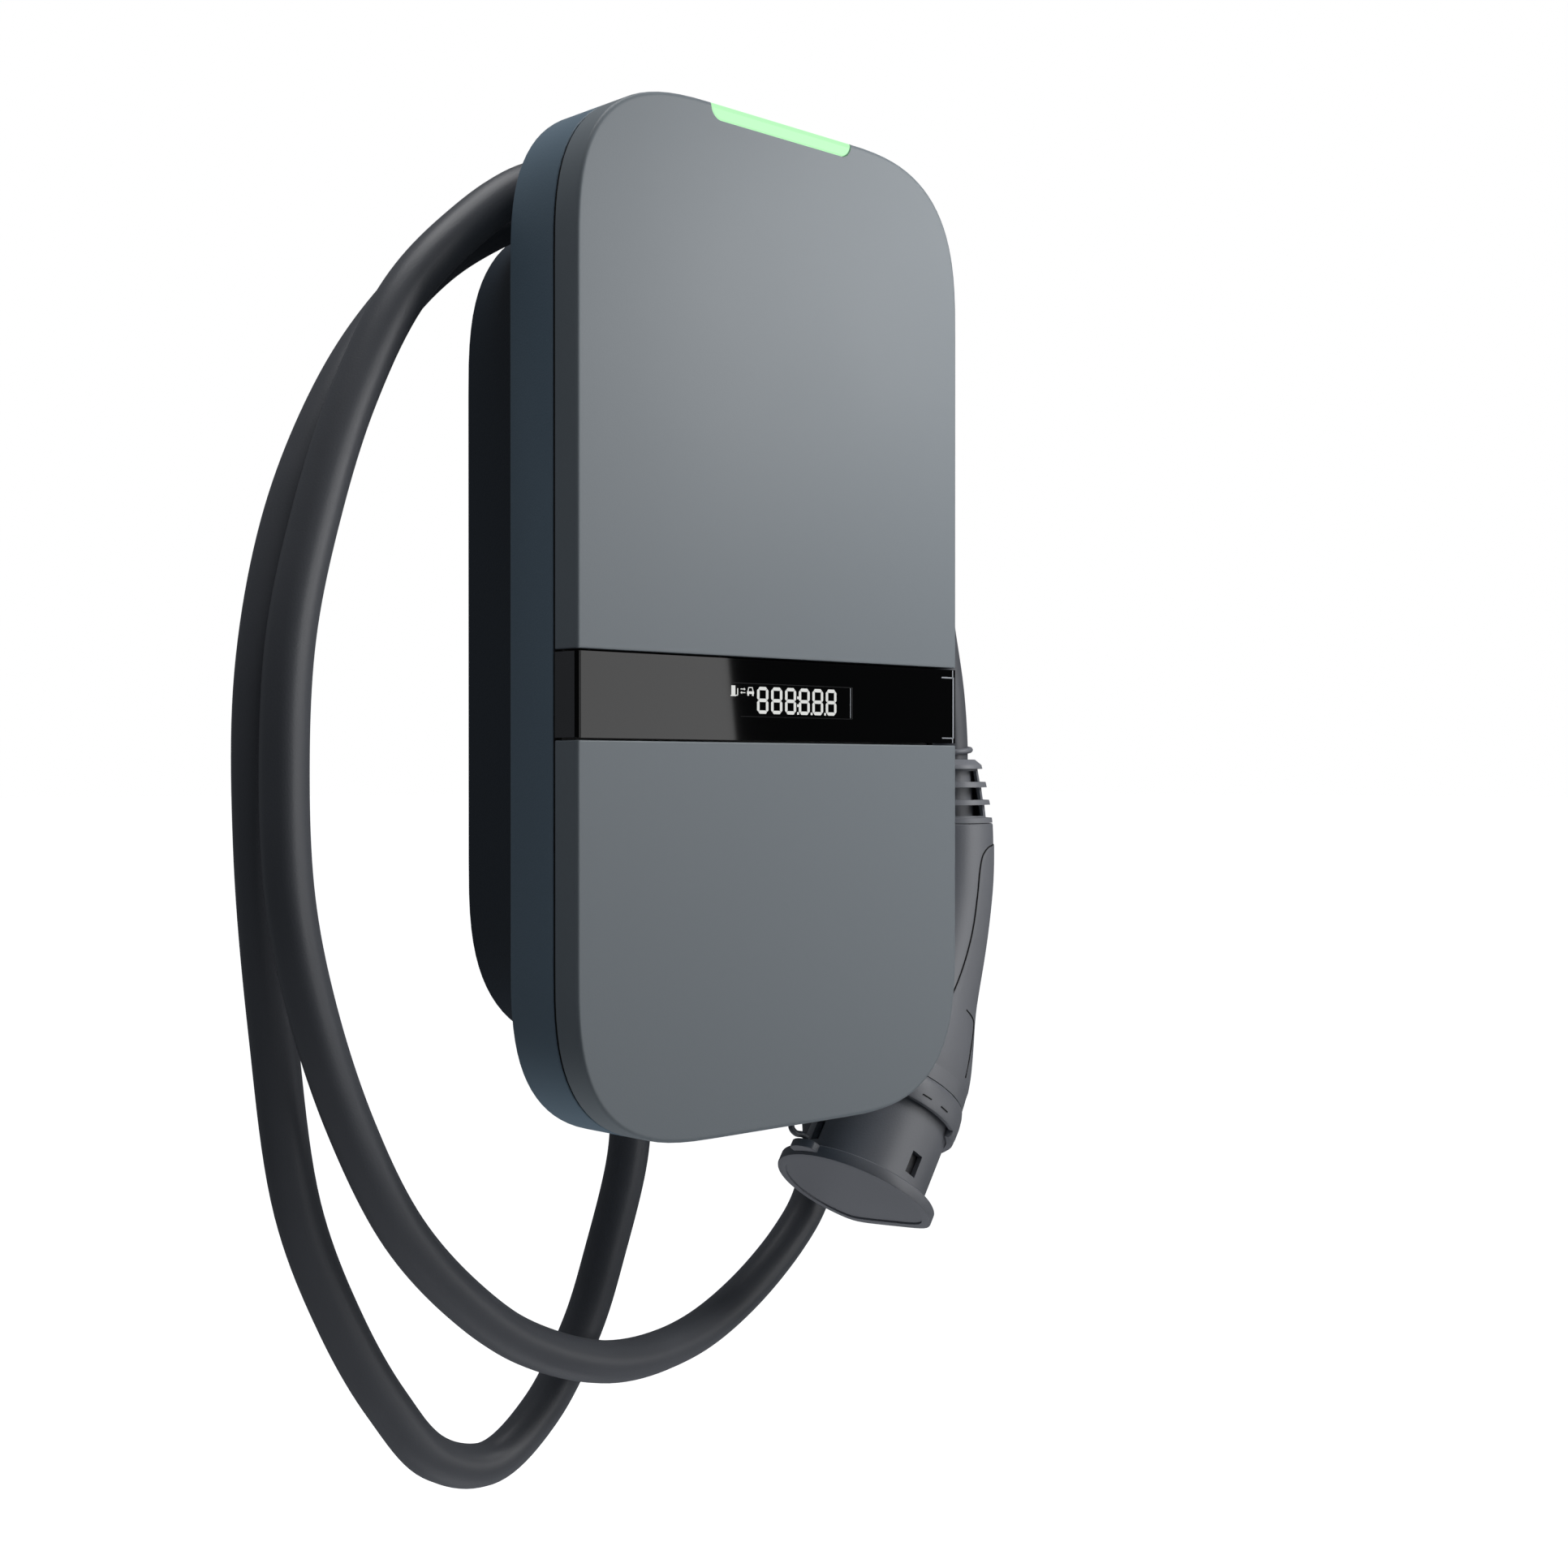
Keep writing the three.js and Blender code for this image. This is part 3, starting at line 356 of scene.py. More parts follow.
def lathe(profile, sides=64, around=True):
    """Turned about Y from (radius, height) pairs; around joins the last pair to the first."""
    turns = [k / sides * 2 * math.pi for k in range(sides)]
    loops = [[(r * math.cos(t), h, r * math.sin(t)) for t in turns] for r, h in profile]
    return loft(loops, around=around)


def swept(section, turns):
    """A section of (radius, height) pairs carried about Y through the given turns."""
    return loft([[(r * math.cos(t), h, r * math.sin(t)) for r, h in section] for t in turns])


def bar(x, y, z):
    verts = [(x[i], y[j], z[k]) for i in (0, 1) for j in (0, 1) for k in (0, 1)]
    return verts, [(0, 1, 3, 2), (4, 6, 7, 5), (0, 4, 5, 1), (2, 3, 7, 6), (0, 2, 6, 4), (1, 5, 7, 3)]


def rod(radius, y, x, z, sides=24):
    return placed(lathe([(radius, depth) for depth in y], sides, False),
                  Matrix.Translation((x, 0, z)))


def plate(points, y):
    """A polygon in X and Z given thickness between two depths."""
    return loft([[(x, depth, z) for x, z in points] for depth in y])


def rounding(radius, steps=6):
    """(inset, depth) pairs of a rounded edge, from the side to the face."""
    turns = [k / steps * math.pi / 2 for k in range(steps + 1)]
    return [(radius * (1 - math.cos(t)), radius * (1 - math.sin(t))) for t in turns]


def smooth(points, spans):
    """Centripetal Catmull-Rom curve through the points."""
    knots = [Vector(p) for p in points]
    result = []
    for i in range(len(knots) - 1):
        p1, p2 = knots[i], knots[i + 1]
        p0 = knots[i - 1] if i else 2 * p1 - p2
        p3 = knots[i + 2] if i + 2 < len(knots) else 2 * p2 - p1
        a, b, c = [(q - p).length ** 0.5 for p, q in ((p0, p1), (p1, p2), (p2, p3))]
        m1 = ((p1 - p0) / a - (p2 - p0) / (a + b) + (p2 - p1) / b) * b
        m2 = ((p2 - p1) / b - (p3 - p1) / (b + c) + (p3 - p2) / c) * b
        for k in range(spans):
            t = k / spans
            result.append(p1 + m1 * t + (3 * (p2 - p1) - 2 * m1 - m2) * t * t
                          + (2 * (p1 - p2) + m1 + m2) * t ** 3)
    return result + [knots[-1]]


def tube(points, radius, sides):
    """A closed tube along points."""
    path = [Vector(p) for p in points]
    across = None
    loops = []
    for i, here in enumerate(path):
        ahead = (path[min(i + 1, len(path) - 1)] - path[max(i - 1, 0)]).normalized()
        if across is None:
            across = ahead.orthogonal().normalized()
        across = (across - ahead * across.dot(ahead)).normalized()
        other = ahead.cross(across)
        turns = [k / sides * 2 * math.pi for k in range(sides)]
        loops.append([tuple(here + radius * (across * math.cos(t) + other * math.sin(t)))
                      for t in turns])
    return loft(loops)


SHARP = 38.0  # edges that turn by more degrees than this stay crisp
WELD = 2e-7


def to_mesh(name, shape, sharp=SHARP):
    verts, faces = shape
    mesh = bpy.data.meshes.new(name)
    mesh.from_pydata([tuple(c * MM for c in v) for v in verts], [], faces)
    work = bmesh.new()
    work.from_mesh(mesh)
    bmesh.ops.remove_doubles(work, verts=work.verts, dist=WELD)
    bmesh.ops.recalc_face_normals(work, faces=work.faces)
    work.to_mesh(mesh)
    work.free()
    finish_mesh(mesh, sharp)
    return mesh


def finish_mesh(mesh, sharp):
    for face in mesh.polygons:
        face.use_smooth = True
    mesh.set_sharp_from_angle(angle=math.radians(sharp))


def carved_mesh(blank, tool, sharp=SHARP):
    """A mesh with another cut out of it."""
    items = [bpy.data.objects.new("carving", mesh) for mesh in (blank, tool)]
    for item in items:
        SCENE.collection.objects.link(item)
    cutter = items[0].modifiers.new("cut", "BOOLEAN")
    cutter.operation = "DIFFERENCE"
    cutter.solver = "EXACT"
    cutter.object = items[1]
    graph = bpy.context.evaluated_depsgraph_get()
    mesh = bpy.data.meshes.new_from_object(items[0].evaluated_get(graph))
    for item in items:
        bpy.data.objects.remove(item)
    finish_mesh(mesh, sharp)
    return mesh


def carved(name, shape, *tools):
    """The shape with tools, which don't touch one another, cut out of it, as a mesh."""
    mesh = carved_mesh(to_mesh(name, shape), to_mesh(name + ".tool", merged(*tools)))
    mesh.name = name
    return mesh


def moved_mesh(mesh, matrix):
    """The mesh, in metres, moved by a matrix that works in millimetres."""
    mesh.transform(Matrix.Scale(1 / MM, 4))
    mesh.transform(matrix)
    mesh.transform(Matrix.Scale(MM, 4))
    return mesh


def piece(name, shape, slot, body="unit", stands_for=(), finish=None, sharp=SHARP):
    """A visual piece on a body, in place of the CAD nodes that it stands for. Its look is that of
    its slot, or finish."""
    mesh = shape if isinstance(shape, bpy.types.Mesh) else to_mesh(name, shape, sharp)
    mesh.materials.clear()
    mesh.materials.append(LOOKS[finish or slot])
    result = bpy.data.objects.new(name, mesh)
    SCENE.collection.objects.link(result)
    if body:
        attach(result, body)
    if stands_for:
        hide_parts(*stands_for)
    return result


# ---- cable and leash -------------------------------------------------------------------

CABLE_SPANS = 10
LEASH_SPANS = 8
LEASH_SIDES = 16

route = [p * MM for p in smooth(CABLE_ROUTE, CABLE_SPANS)]
curve = bpy.data.curves.new("charging_cable_sheath", "CURVE")
curve.dimensions = "3D"
curve.bevel_depth = CABLE_RADIUS * MM
curve.bevel_resolution = 7
curve.use_fill_caps = True
spline = curve.splines.new("POLY")
spline.points.add(len(route) - 1)
for point, spot in zip(spline.points, route):
    point.co = (*spot, 1)
spline.use_smooth = True
curve.materials.append(LOOKS["cable_sheath"])
cable = bpy.data.objects.new("charging_cable_sheath", curve)
SCENE.collection.objects.link(cable)
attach(cable, "unit")
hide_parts("charging_cable")


leash_curve = smooth(LEASH_ROUTE, LEASH_SPANS)
leash = piece("cap_leash_cord", tube(leash_curve, LEASH_RADIUS, LEASH_SIDES),
              "cable_sheath", None, ["cap_leash"], sharp=60)

# ---- covers, display band and light ----------------------------------------------------

SEAM_CORNER = (0.5, 2)


def cover(bottom, top, corners, seam_below, seam_above):
    """Hollow cover: rim, side, rounded edge and face outside, then the recess behind it."""
    def loop(inset, seam_inset, depth):
        return [(x, depth, z) for x, z in outline(
            BODY["left"], BODY["right"], bottom, top, corners, inset,
            seam_inset if seam_below else None, seam_inset if seam_above else None)]
    loops = [loop(SKIN, SKIN, COVER_FACE + SKIN), loop(SKIN, SKIN, SEAM), loop(0.2, 0.1, SEAM),
             loop(0, 0, SEAM - 0.2)]
    for inset, depth in rounding(COVER_EDGE):
        loops.append(loop(inset, inset * 0.15, COVER_FACE + depth))
    loops.append(loop(COVER_EDGE + 0.4, 0.7, COVER_FACE))
    return loft(loops)


PIN_RADIUS = 3
PIN_END = -77.5
UPPER_PINS = [(-55, 130), (55, 130), (-72, 20), (72, 20)]
LOWER_PINS = [(-55, -130), (55, -130), (-72, -62), (72, -62)]
LIGHT_CORNERS = [(0.3, 2)] * 2 + [(4.6, 2)] * 2
NOTCH_GAP = 0.3


def pins(places):
    return merged(*[rod(PIN_RADIUS, (COVER_FACE + 2, PIN_END), x, z) for x, z in places])


def light_notch():
    points = outline(-LIGHT_HALF_WIDTH - NOTCH_GAP, LIGHT_HALF_WIDTH + NOTCH_GAP,
                     LIGHT_BOTTOM - NOTCH_GAP, BODY["top"] + 7.5, LIGHT_CORNERS)
    return plate(points, (COVER_FACE - 3, SEAM + 1.7))


upper_blank = cover(BAND_TOP + HALF_SEAM, BODY["top"], [BODY_CORNER] * 2 + [SEAM_CORNER] * 2,
                    True, False)
lower_blank = cover(BODY["bottom"], BAND_BOTTOM - HALF_SEAM, [SEAM_CORNER] * 2 + [BODY_CORNER] * 2,
                    False, True)
piece("upper_cover_shell", carved("upper_cover_shell", upper_blank, light_notch()), "cover",
      "upper_cover", ["upper_cover"])
piece("upper_cover_pins", pins(UPPER_PINS), "cover", "upper_cover")
piece("lower_cover_shell", lower_blank, "cover", "lower_cover", ["lower_cover"])
piece("lower_cover_pins", pins(LOWER_PINS), "cover", "lower_cover")


def light_bar():
    """The bar is eased most along its upper edge, where it follows the cover's."""
    loops = []
    for inset, depth in [(0, SEAM - COVER_FACE)] + rounding(1.4) + [(1.8, 0)]:
        points = outline(-LIGHT_HALF_WIDTH, LIGHT_HALF_WIDTH, LIGHT_BOTTOM, BODY["top"],
                         LIGHT_CORNERS, inset * 0.25, inset * 0.25, inset)
        loops.append([(x, COVER_FACE + depth, z) for x, z in points])
    return loft(loops)


light_stem = bar((-28, 28), (-88, -83.5), (158, LIGHT_BOTTOM + 1))
piece("light_bar", merged(light_bar(), light_stem), "light_guide", stands_for=["led_light_guide"])


def band():
    """Hollow band that wraps the front and both sides, as a section in X and Y."""
    side = BODY["right"]
    edge = [(side, SEAM), (side, COVER_FACE + BAND_EDGE + 0.2)]
    edge += [(side - inset, COVER_FACE + depth) for inset, depth in rounding(BAND_EDGE)]
    edge.append((side - BAND_EDGE - 0.5, COVER_FACE))
    outer = [(-x, y) for x, y in edge] + edge[::-1]
    inside, back = side - SKIN, COVER_FACE + SKIN
    inner = [(inside, SEAM), (inside, back), (-inside, back), (-inside, SEAM)]
    return loft([[(x, y, z) for x, y in outer + inner]
                 for z in (BAND_BOTTOM + HALF_SEAM, BAND_TOP - HALF_SEAM)])


def band_sides():
    """A grey strip on each end of the band, where it has turned the corner: painted reflection on the
    band's gloss black sides.
    """
    out, under = BODY["right"] + GLINT, BODY["right"] - 0.2
    y = (COVER_FACE + BAND_EDGE + 0.1, SEAM - 0.05)
    z = (BAND_BOTTOM + HALF_SEAM + 0.1, BAND_TOP - HALF_SEAM - 0.1)
    return merged(bar((-out, -under), y, z), bar((under, out), y, z))


piece("display_band", band(), "display_gloss", stands_for=["display_window"], sharp=30)
# grey strips on the band's ends: painted reflection
piece("display_band_sides", band_sides(), "display_gloss", finish="band_side_reflection")

GRAPHIC = (COVER_FACE - GLINT, COVER_FACE + 0.2)  # printed or lit marks, flush with the glass
DIGIT_LEFT = -12.45
DIGIT_BOTTOM = -30.35
DIGIT_PITCH = 6.62
DIGIT_WIDTH = 5.3
DIGIT_HEIGHT = 9.15
STROKE = 1.15
SEGMENT_GAP = 0.09
POINT_HALF = 0.45
POINTS = [(7.05, -24.5), (7.05, -27.2), (7.05, -29.9), (13.65, -29.9), (20.3, -29.9)]


def mark(x, z):
    return bar(x, GRAPHIC, z)


def patch(*points):
    return plate(points, GRAPHIC)


def segment(start, end, upright, centre):
    """A bar of a digit with mitred ends, along X, or along Z if upright."""
    half = STROKE / 2
    points = [(start, centre), (start + half, centre + half), (end - half, centre + half),
              (end, centre), (end - half, centre - half), (start + half, centre - half)]
    return patch(*[point[::-1] if upright else point for point in points])


def digit(left):
    """The seven bars of a digit."""
    low, high = DIGIT_BOTTOM + STROKE / 2, DIGIT_BOTTOM + DIGIT_HEIGHT - STROKE / 2
    start, end = left + STROKE / 2, left + DIGIT_WIDTH - STROKE / 2
    middle = (low + high) / 2
    bars = [segment(start + SEGMENT_GAP, end - SEGMENT_GAP, False, z) for z in (low, middle, high)]
    for x in (start, end):
        for a, b in ((low, middle), (middle, high)):
            bars.append(segment(a + SEGMENT_GAP, b - SEGMENT_GAP, True, x))
    return merged(*bars)


def points_and_colon():
    return merged(*[mark((x - POINT_HALF, x + POINT_HALF), (z - POINT_HALF, z + POINT_HALF))
                    for x, z in POINTS])


def station_sign():
    return merged(mark((-24.3, -22.5), (-24.5, -21.1)), mark((-24.6, -22.2), (-24.7, -24.3)),
                  mark((-21.6, -21.2), (-24.2, -22.0)), mark((-22.3, -21.4), (-24.5, -24.2)))


def exchange_sign():
    return merged(mark((-20.1, -18.2), (-22.35, -22.05)), mark((-19.8, -17.9), (-23.55, -23.25)),
                  patch((-18.5, -21.75), (-17.8, -22.2), (-18.5, -22.65)),
                  patch((-19.5, -22.95), (-19.5, -23.85), (-20.2, -23.4)))


def car_sign():
    return merged(
        mark((-17.1, -13.9), (-23.75, -22.9)), mark((-16.95, -16.2), (-24.4, -23.7)),
        mark((-14.8, -14.05), (-24.4, -23.7)), mark((-16.3, -14.7), (-21.75, -21.45)),
        patch((-16.9, -22.95), (-16.5, -21.5), (-16.15, -21.5), (-16.5, -22.95)),
        patch((-14.5, -22.95), (-14.85, -21.5), (-14.5, -21.5), (-14.1, -22.95)))


digits = merged(*[digit(DIGIT_LEFT + DIGIT_PITCH * k) for k in range(6)])
piece("display_digits",
      merged(digits, points_and_colon(), station_sign(), exchange_sign(), car_sign()), "lcd",
      finish="digits")
piece("display_frame", merged(
    mark((-24, 33.9), (-20.35, -20.1)), mark((-20, 33.9), (-31.5, -31.3)),
    mark((33.8, 34.2), (-31.4, -20.2))), "lcd", finish="faint")
# the brackets glow a little: painted light
piece("display_brackets", merged(
    mark((32.95, 33.2), (-31.1, -20.4)), mark((81.6, 87.4), (-15.3, -14.8)),
    mark((81.9, 87.4), (-37.7, -37.3)), mark((87.55, 88.05), (-39.3, -37.4)),
    mark((87.55, 88.05), (-15.1, -12.3)), mark((87.75, 88.45), (-37.6, -14.9))), "lcd",
    finish="bracket")

# ---- housings --------------------------------------------------------------------------


OPENING_GAP = 0.3
FLANGE_THICKNESS = 2
FLANGE_REACH = 8


def body_loop(inset, depth):
    return [(x, depth, z) for x, z in outline(*BODY.values(), [BODY_CORNER] * 4, inset)]


def rear_loop(inset, depth):
    return [(x, depth, z) for x, z in outline(*REAR.values(), [REAR_CORNER] * 4, inset)]


def front_housing():
    """Ring with a rear wall: its opening, inside, front edge, outer side and rounded back."""
    loops = [rear_loop(-OPENING_GAP, RING_FRONT), body_loop(HOUSING_WALL, RING_FRONT),
             body_loop(HOUSING_WALL, HOUSING_FRONT), body_loop(0.25, HOUSING_FRONT),
             body_loop(0, HOUSING_FRONT + 0.25)]
    for inset, depth in rounding(1.6):
        loops.append(body_loop(inset, HOUSING_BACK - depth))
    loops += [body_loop(2.2, HOUSING_BACK), rear_loop(-OPENING_GAP, HOUSING_BACK)]
    return loft(loops, around=True)


def housing_seam():
    """The dark line between the front housing and the covers: a dark sheet in the gap, painted shade."""
    front, back = SEAM + 0.25, HOUSING_FRONT - 0.02
    outer, inner = 0.45, HOUSING_WALL - 0.1
    return loft([body_loop(outer, back), body_loop(outer, front), body_loop(inner, front),
                 body_loop(inner, back)], around=True)


def rear_housing():
    """Box open to the front: its inside, its flange, its outer side and its rounded back."""
    flange_back = FLANGE_FRONT + FLANGE_THICKNESS
    loops = [rear_loop(HOUSING_WALL, REAR_BACK - HOUSING_WALL), rear_loop(HOUSING_WALL, FLANGE_FRONT),
             rear_loop(-FLANGE_REACH, FLANGE_FRONT), rear_loop(-FLANGE_REACH, flange_back),
             rear_loop(-0.8, flange_back), rear_loop(-0.2, flange_back + 0.2),
             rear_loop(0, flange_back + 0.8)]
    for inset, depth in rounding(2.2):
        loops.append(rear_loop(inset, REAR_BACK - depth))
    loops.append(rear_loop(2.8, REAR_BACK))
    return loft(loops)


def rounded_block(x, y, z, radius):
    """A block whose section in X and Y has rounded corners and whose lower edge is eased."""
    corners = [(radius, 2)] * 4
    rings = [(0.6, z[0]), (0.2, z[0] + 0.2), (0, z[0] + 0.6), (0, z[1])]
    return loft([[(a, b, height) for a, b in outline(*x, *y, corners, inset)]
                 for inset, height in rings])


piece("front_housing_shell", front_housing(), "front_shell", stands_for=["front_housing"])
# dark sheet in the cover seam: painted shade
piece("housing_seam", housing_seam(), "front_shell", finish="gap")
entry_block = rounded_block((-30, 40), (-45, -6), (-150, -143), 3)
piece("rear_housing_shell", merged(rear_housing(), entry_block), "rear_shell",
      stands_for=["rear_housing"])

# ---- plug ------------------------------------------------------------------------------

PLUG = Matrix.Translation(PLUG_TOP)
LEANING = Matrix.Rotation(HEAD_LEAN, 3, "X")
OUTWARD = LEANING @ Vector((math.cos(HEAD_TILT), 0, -math.sin(HEAD_TILT)))
ALONG = LEANING @ Vector((-math.sin(HEAD_TILT), 0, -math.cos(HEAD_TILT)))
TO_WALL = LEANING @ Vector((0, 1, 0))
HEAD = PLUG @ Matrix.Translation(HEAD_START) @ Matrix(
    [(*row, 0) for row in zip(OUTWARD, ALONG, TO_WALL)] + [(0, 0, 0, 1)])
BOOT = PLUG @ Matrix.Rotation(-math.pi / 2, 4, "X")

HANDLE_KNOTS = [Vector((0, 0, -BOOT_LENGTH)), Vector((0, 0, -BOOT_LENGTH - 50)),
                Vector(HEAD_START) - 24 * ALONG, Vector(HEAD_START)]
HANDLE_PROFILE = [
    (0, 17.3), (0.003, 17.6), (0.05, 17.9), (0.12, 18.2), (0.2, 18.5), (0.3, 18.5), (0.4, 18.6),
    (0.5, 18.8), (0.6, 19.2), (0.68, 20.1), (0.76, 22.1), (0.84, 24.2), (0.92, 26.2), (1, 27.2),
]


def bezier(t):
    a, b, c, d = HANDLE_KNOTS
    s = 1 - t
    return a * s ** 3 + b * 3 * s * s * t + c * 3 * s * t * t + d * t ** 3


BEZIER_STEPS = 400
bezier_points = [bezier(k / BEZIER_STEPS) for k in range(BEZIER_STEPS + 1)]
bezier_reach = [0.0]
for a, b in zip(bezier_points, bezier_points[1:]):
    bezier_reach.append(bezier_reach[-1] + (b - a).length)
bezier_table = [(reach / bezier_reach[-1], k / BEZIER_STEPS) for k, reach in enumerate(bezier_reach)]


def between(table, x):
    """Straight-line reading of a table of (x, y) pairs."""
    for (x0, y0), (x1, y1) in zip(table, table[1:]):
        if x <= x1:
            s = (x - x0) / (x1 - x0)
            return y0 + (y1 - y0) * s
    return table[-1][1]


def profile_radius(part):
    """The handle's radius, averaged over a short stretch so that it has no corners."""
    if part < 0.03:
        return between(HANDLE_PROFILE, part)
    reach = [-0.04, -0.02, 0, 0.02, 0.04]
    return sum(between(HANDLE_PROFILE, min(1, max(0.01, part + r))) for r in reach) / 5


def on_handle(part, degrees, lift=0.0):
    """A point on the handle, in the plug's own axes: a fraction of its length, and the turn
    about its axis from the outer side towards the wall."""
    t = between(bezier_table, part)
    ahead = (bezier(min(1, t + 0.002)) - bezier(max(0, t - 0.002))).normalized()
    outward = ahead.cross(TO_WALL).normalized()
    turn = math.radians(degrees)
    sideways = outward * math.cos(turn) + outward.cross(ahead) * math.sin(turn)
    return bezier(t) + (profile_radius(part) + lift) * sideways


SHELL_WALL = 4
MOUTH_LIFT = 8.2 - 17.5  # from the handle's upper radius in to the cable's hole
COLLAR_REACH = 1.7


def handle_shell():
    """Outside down to the collar, back up the inside, and in to the cable's hole."""
    rings = [0, 0.003] + [k / 60 for k in range(1, 61)]
    turns = [k * 360 / 96 for k in range(96)]
    reach = COLLAR_REACH * ALONG
    outer = [[tuple(on_handle(p, d)) for d in turns] for p in rings]
    end = [[tuple(on_handle(1, d, lift) + reach) for d in turns] for lift in (0.1, -SHELL_WALL)]
    inner = [[tuple(on_handle(p, d, -SHELL_WALL)) for d in turns] for p in (1, 0.8, 0.6, 0.4, 0.2, 0.03)]
    mouth = [[tuple(on_handle(p, d, MOUTH_LIFT)) for d in turns] for p in (0.03, 0)]
    return loft(outer + end + inner + mouth, around=True)


INLAY_EDGE = [(0.072, 40), (0.076, 62), (0.09, 80), (0.12, 90), (0.17, 94), (0.28, 95), (0.4, 96),
              (0.52, 100), (0.63, 106), (0.75, 115), (0.88, 122), (0.96, 124)]


INLAY_LIFT = 0.32
INLAY_DEPTH = 0.6
INLAY_COLUMNS = 48


def inlay_patch():
    """Soft grip on the handle's outer side: a thin sheet laid on the shell, level with it along
    its edges."""
    parts = [0.072, 0.0725, 0.0735, 0.076, 0.08, 0.085, 0.09, 0.1, 0.11, 0.12, 0.14, 0.17]
    parts += [0.17 + k * 0.79 / 34 for k in range(1, 35)]
    loops = []
    for part in parts:
        half = between(INLAY_EDGE, part)
        row = [half * (2 * k / INLAY_COLUMNS - 1) for k in range(INLAY_COLUMNS + 1)]
        lift = INLAY_LIFT if 0.0725 <= part < 0.955 else 0.0
        lifts = [0.0] + [lift] * (INLAY_COLUMNS - 1) + [0.0]
        top = [tuple(on_handle(part, d, up)) for d, up in zip(row, lifts)]
        under = [tuple(on_handle(part, d, -INLAY_DEPTH)) for d in row]
        loops.append(top + under[::-1])
    return loft(loops)


GROOVE_RADIUS = 0.3
LATCH_LINE = [(0.7, 86), (0.705, 75), (0.715, 66), (0.74, 65), (0.83, 70), (0.93, 73)]


def groove(places, lift=0.1):
    """A dark line, painted shade of a groove, through places (part of the handle's length, degrees) on
    the handle.
    """
    path = smooth([on_handle(part, d, lift) for part, d in places], 8)
    return placed(tube(path, GROOVE_RADIUS, 8), PLUG)


def mirrored(places):
    return [(part, -d) for part, d in places]


piece("handle_shell", placed(handle_shell(), PLUG), "plug_plastic",
      stands_for=["handle_shell_front", "handle_shell_back"])
piece("grip_soft_inlay", placed(inlay_patch(), PLUG), "grip_rubber", stands_for=["grip_inlay"], sharp=50)
# dark tubes along the handle's seams: painted shade in the grooves
piece("handle_seams", merged(
    groove(mirrored(INLAY_EDGE)), groove(INLAY_EDGE),
    groove(mirrored(LATCH_LINE), 0.4), groove(LATCH_LINE, 0.4),
    groove([(0.072, d) for d in range(-40, 41, 16)])), "plug_plastic", finish="gap")


def boot():
    """Tapered cage with four rings, joined at both ends to a narrow sleeve inside it."""
    outer = [(10.2, 0), (10.4, 0.05), (12.9, 2.1), (13.05, 2.3), (13.4, 3.8), (11.4, 3.9), (12.3, 9),
             (14.7, 9.1), (15.2, 11.3), (12.9, 11.4), (13.6, 16.3), (16.1, 16.4), (16.6, 18.4),
             (14.2, 18.5), (14.8, 23.6), (17.3, 23.7), (17.5, 25.7)]
    return lathe(outer + [(7.9, 25.7), (7.9, 0)], 96)


def boot_tools():
    """The ring-shaped cavity behind the cage, and three rows of windows on each side."""
    tools = [lathe([(9, 4.6), (10.3, 4.6), (13.5, 23), (9.9, 23)], 96)]
    for low, high in ((4.7, 9.05), (11.4, 16.35), (18.5, 22.9)):
        for first, last in ((70, 166), (194, 290)):
            section = [(10.05, low), (20, low), (20, high), (10.05, high)]
            turns = [math.radians(first + k / 24 * (last - first)) for k in range(25)]
            tools.append(swept(section, turns))
    return tools


BOOT_SHARP = 30
boot_mesh = to_mesh("boot_cage", boot(), BOOT_SHARP)
for tool in boot_tools():
    boot_mesh = carved_mesh(boot_mesh, to_mesh("boot_tool", tool), BOOT_SHARP)
piece("boot_cage", moved_mesh(boot_mesh, BOOT), "boot_plastic", stands_for=["strain_boot"])

LOOP_RADIUS = 8.35
LOOP_THICKNESS = 1.2
LOOP_HEIGHT = 3.4
LOOP_TILT = math.radians(-6)


def torus(major, minor, sides=64, ring=20):
    turns = [k / ring * 2 * math.pi for k in range(ring)]
    return lathe([(major + minor * math.cos(t), minor * math.sin(t)) for t in turns], sides)


LOOP = Matrix.Translation(Vector(PLUG_TOP) + Vector((0, 0, LOOP_HEIGHT)))
LOOP = LOOP @ Matrix.Rotation(LOOP_TILT, 4, "Y") @ Matrix.Rotation(-math.pi / 2, 4, "X")
piece("leash_loop", placed(torus(LOOP_RADIUS, LOOP_THICKNESS), LOOP), "plug_plastic",
      stands_for=["leash_ring"])


def flatted(radius, flat, easings, sides=96):
    """Points (x, z) of a circle with one flat side towards +X. Each easing rounds its corners a
    little more."""
    half = math.acos(flat / radius)
    points = []
    for k in range(sides):
        turn = half + k / (sides - 1) * (2 * math.pi - 2 * half)
        points.append(Vector((radius * math.cos(turn), radius * math.sin(turn))))
    a, b = points[-1], points[0]
    points += [a.lerp(b, k / 12) for k in range(1, 12)]
    for _ in range(easings):
        points = [(points[k - 1] + 2 * p + points[(k + 1) % len(points)]) / 4
                  for k, p in enumerate(points)]
    return [(p.x, p.y) for p in points]


def flat_loop(radius, flat, height, easings=3):
    return [(x, height, z) for x, z in flatted(radius, flat, easings)]


NOSE_START = 1.5
NOSE_WINDOWS = (92, 192, 292)  # degrees about the plug's axis


def nose():
    """Tube with a flat side and an eased mouth."""
    def loop(inset, height):
        return flat_loop(NOSE_RADIUS - inset, NOSE_FLAT - inset, height)
    return loft([loop(0, NOSE_START), loop(0, NOSE_END - 0.4), loop(0.4, NOSE_END),
                 loop(NOSE_WALL, NOSE_END), loop(NOSE_WALL, NOSE_START)], around=True)


def turned_bar(x, y, z, degrees):
    return placed(bar(x, y, z), Matrix.Rotation(math.radians(degrees), 4, "Y"))


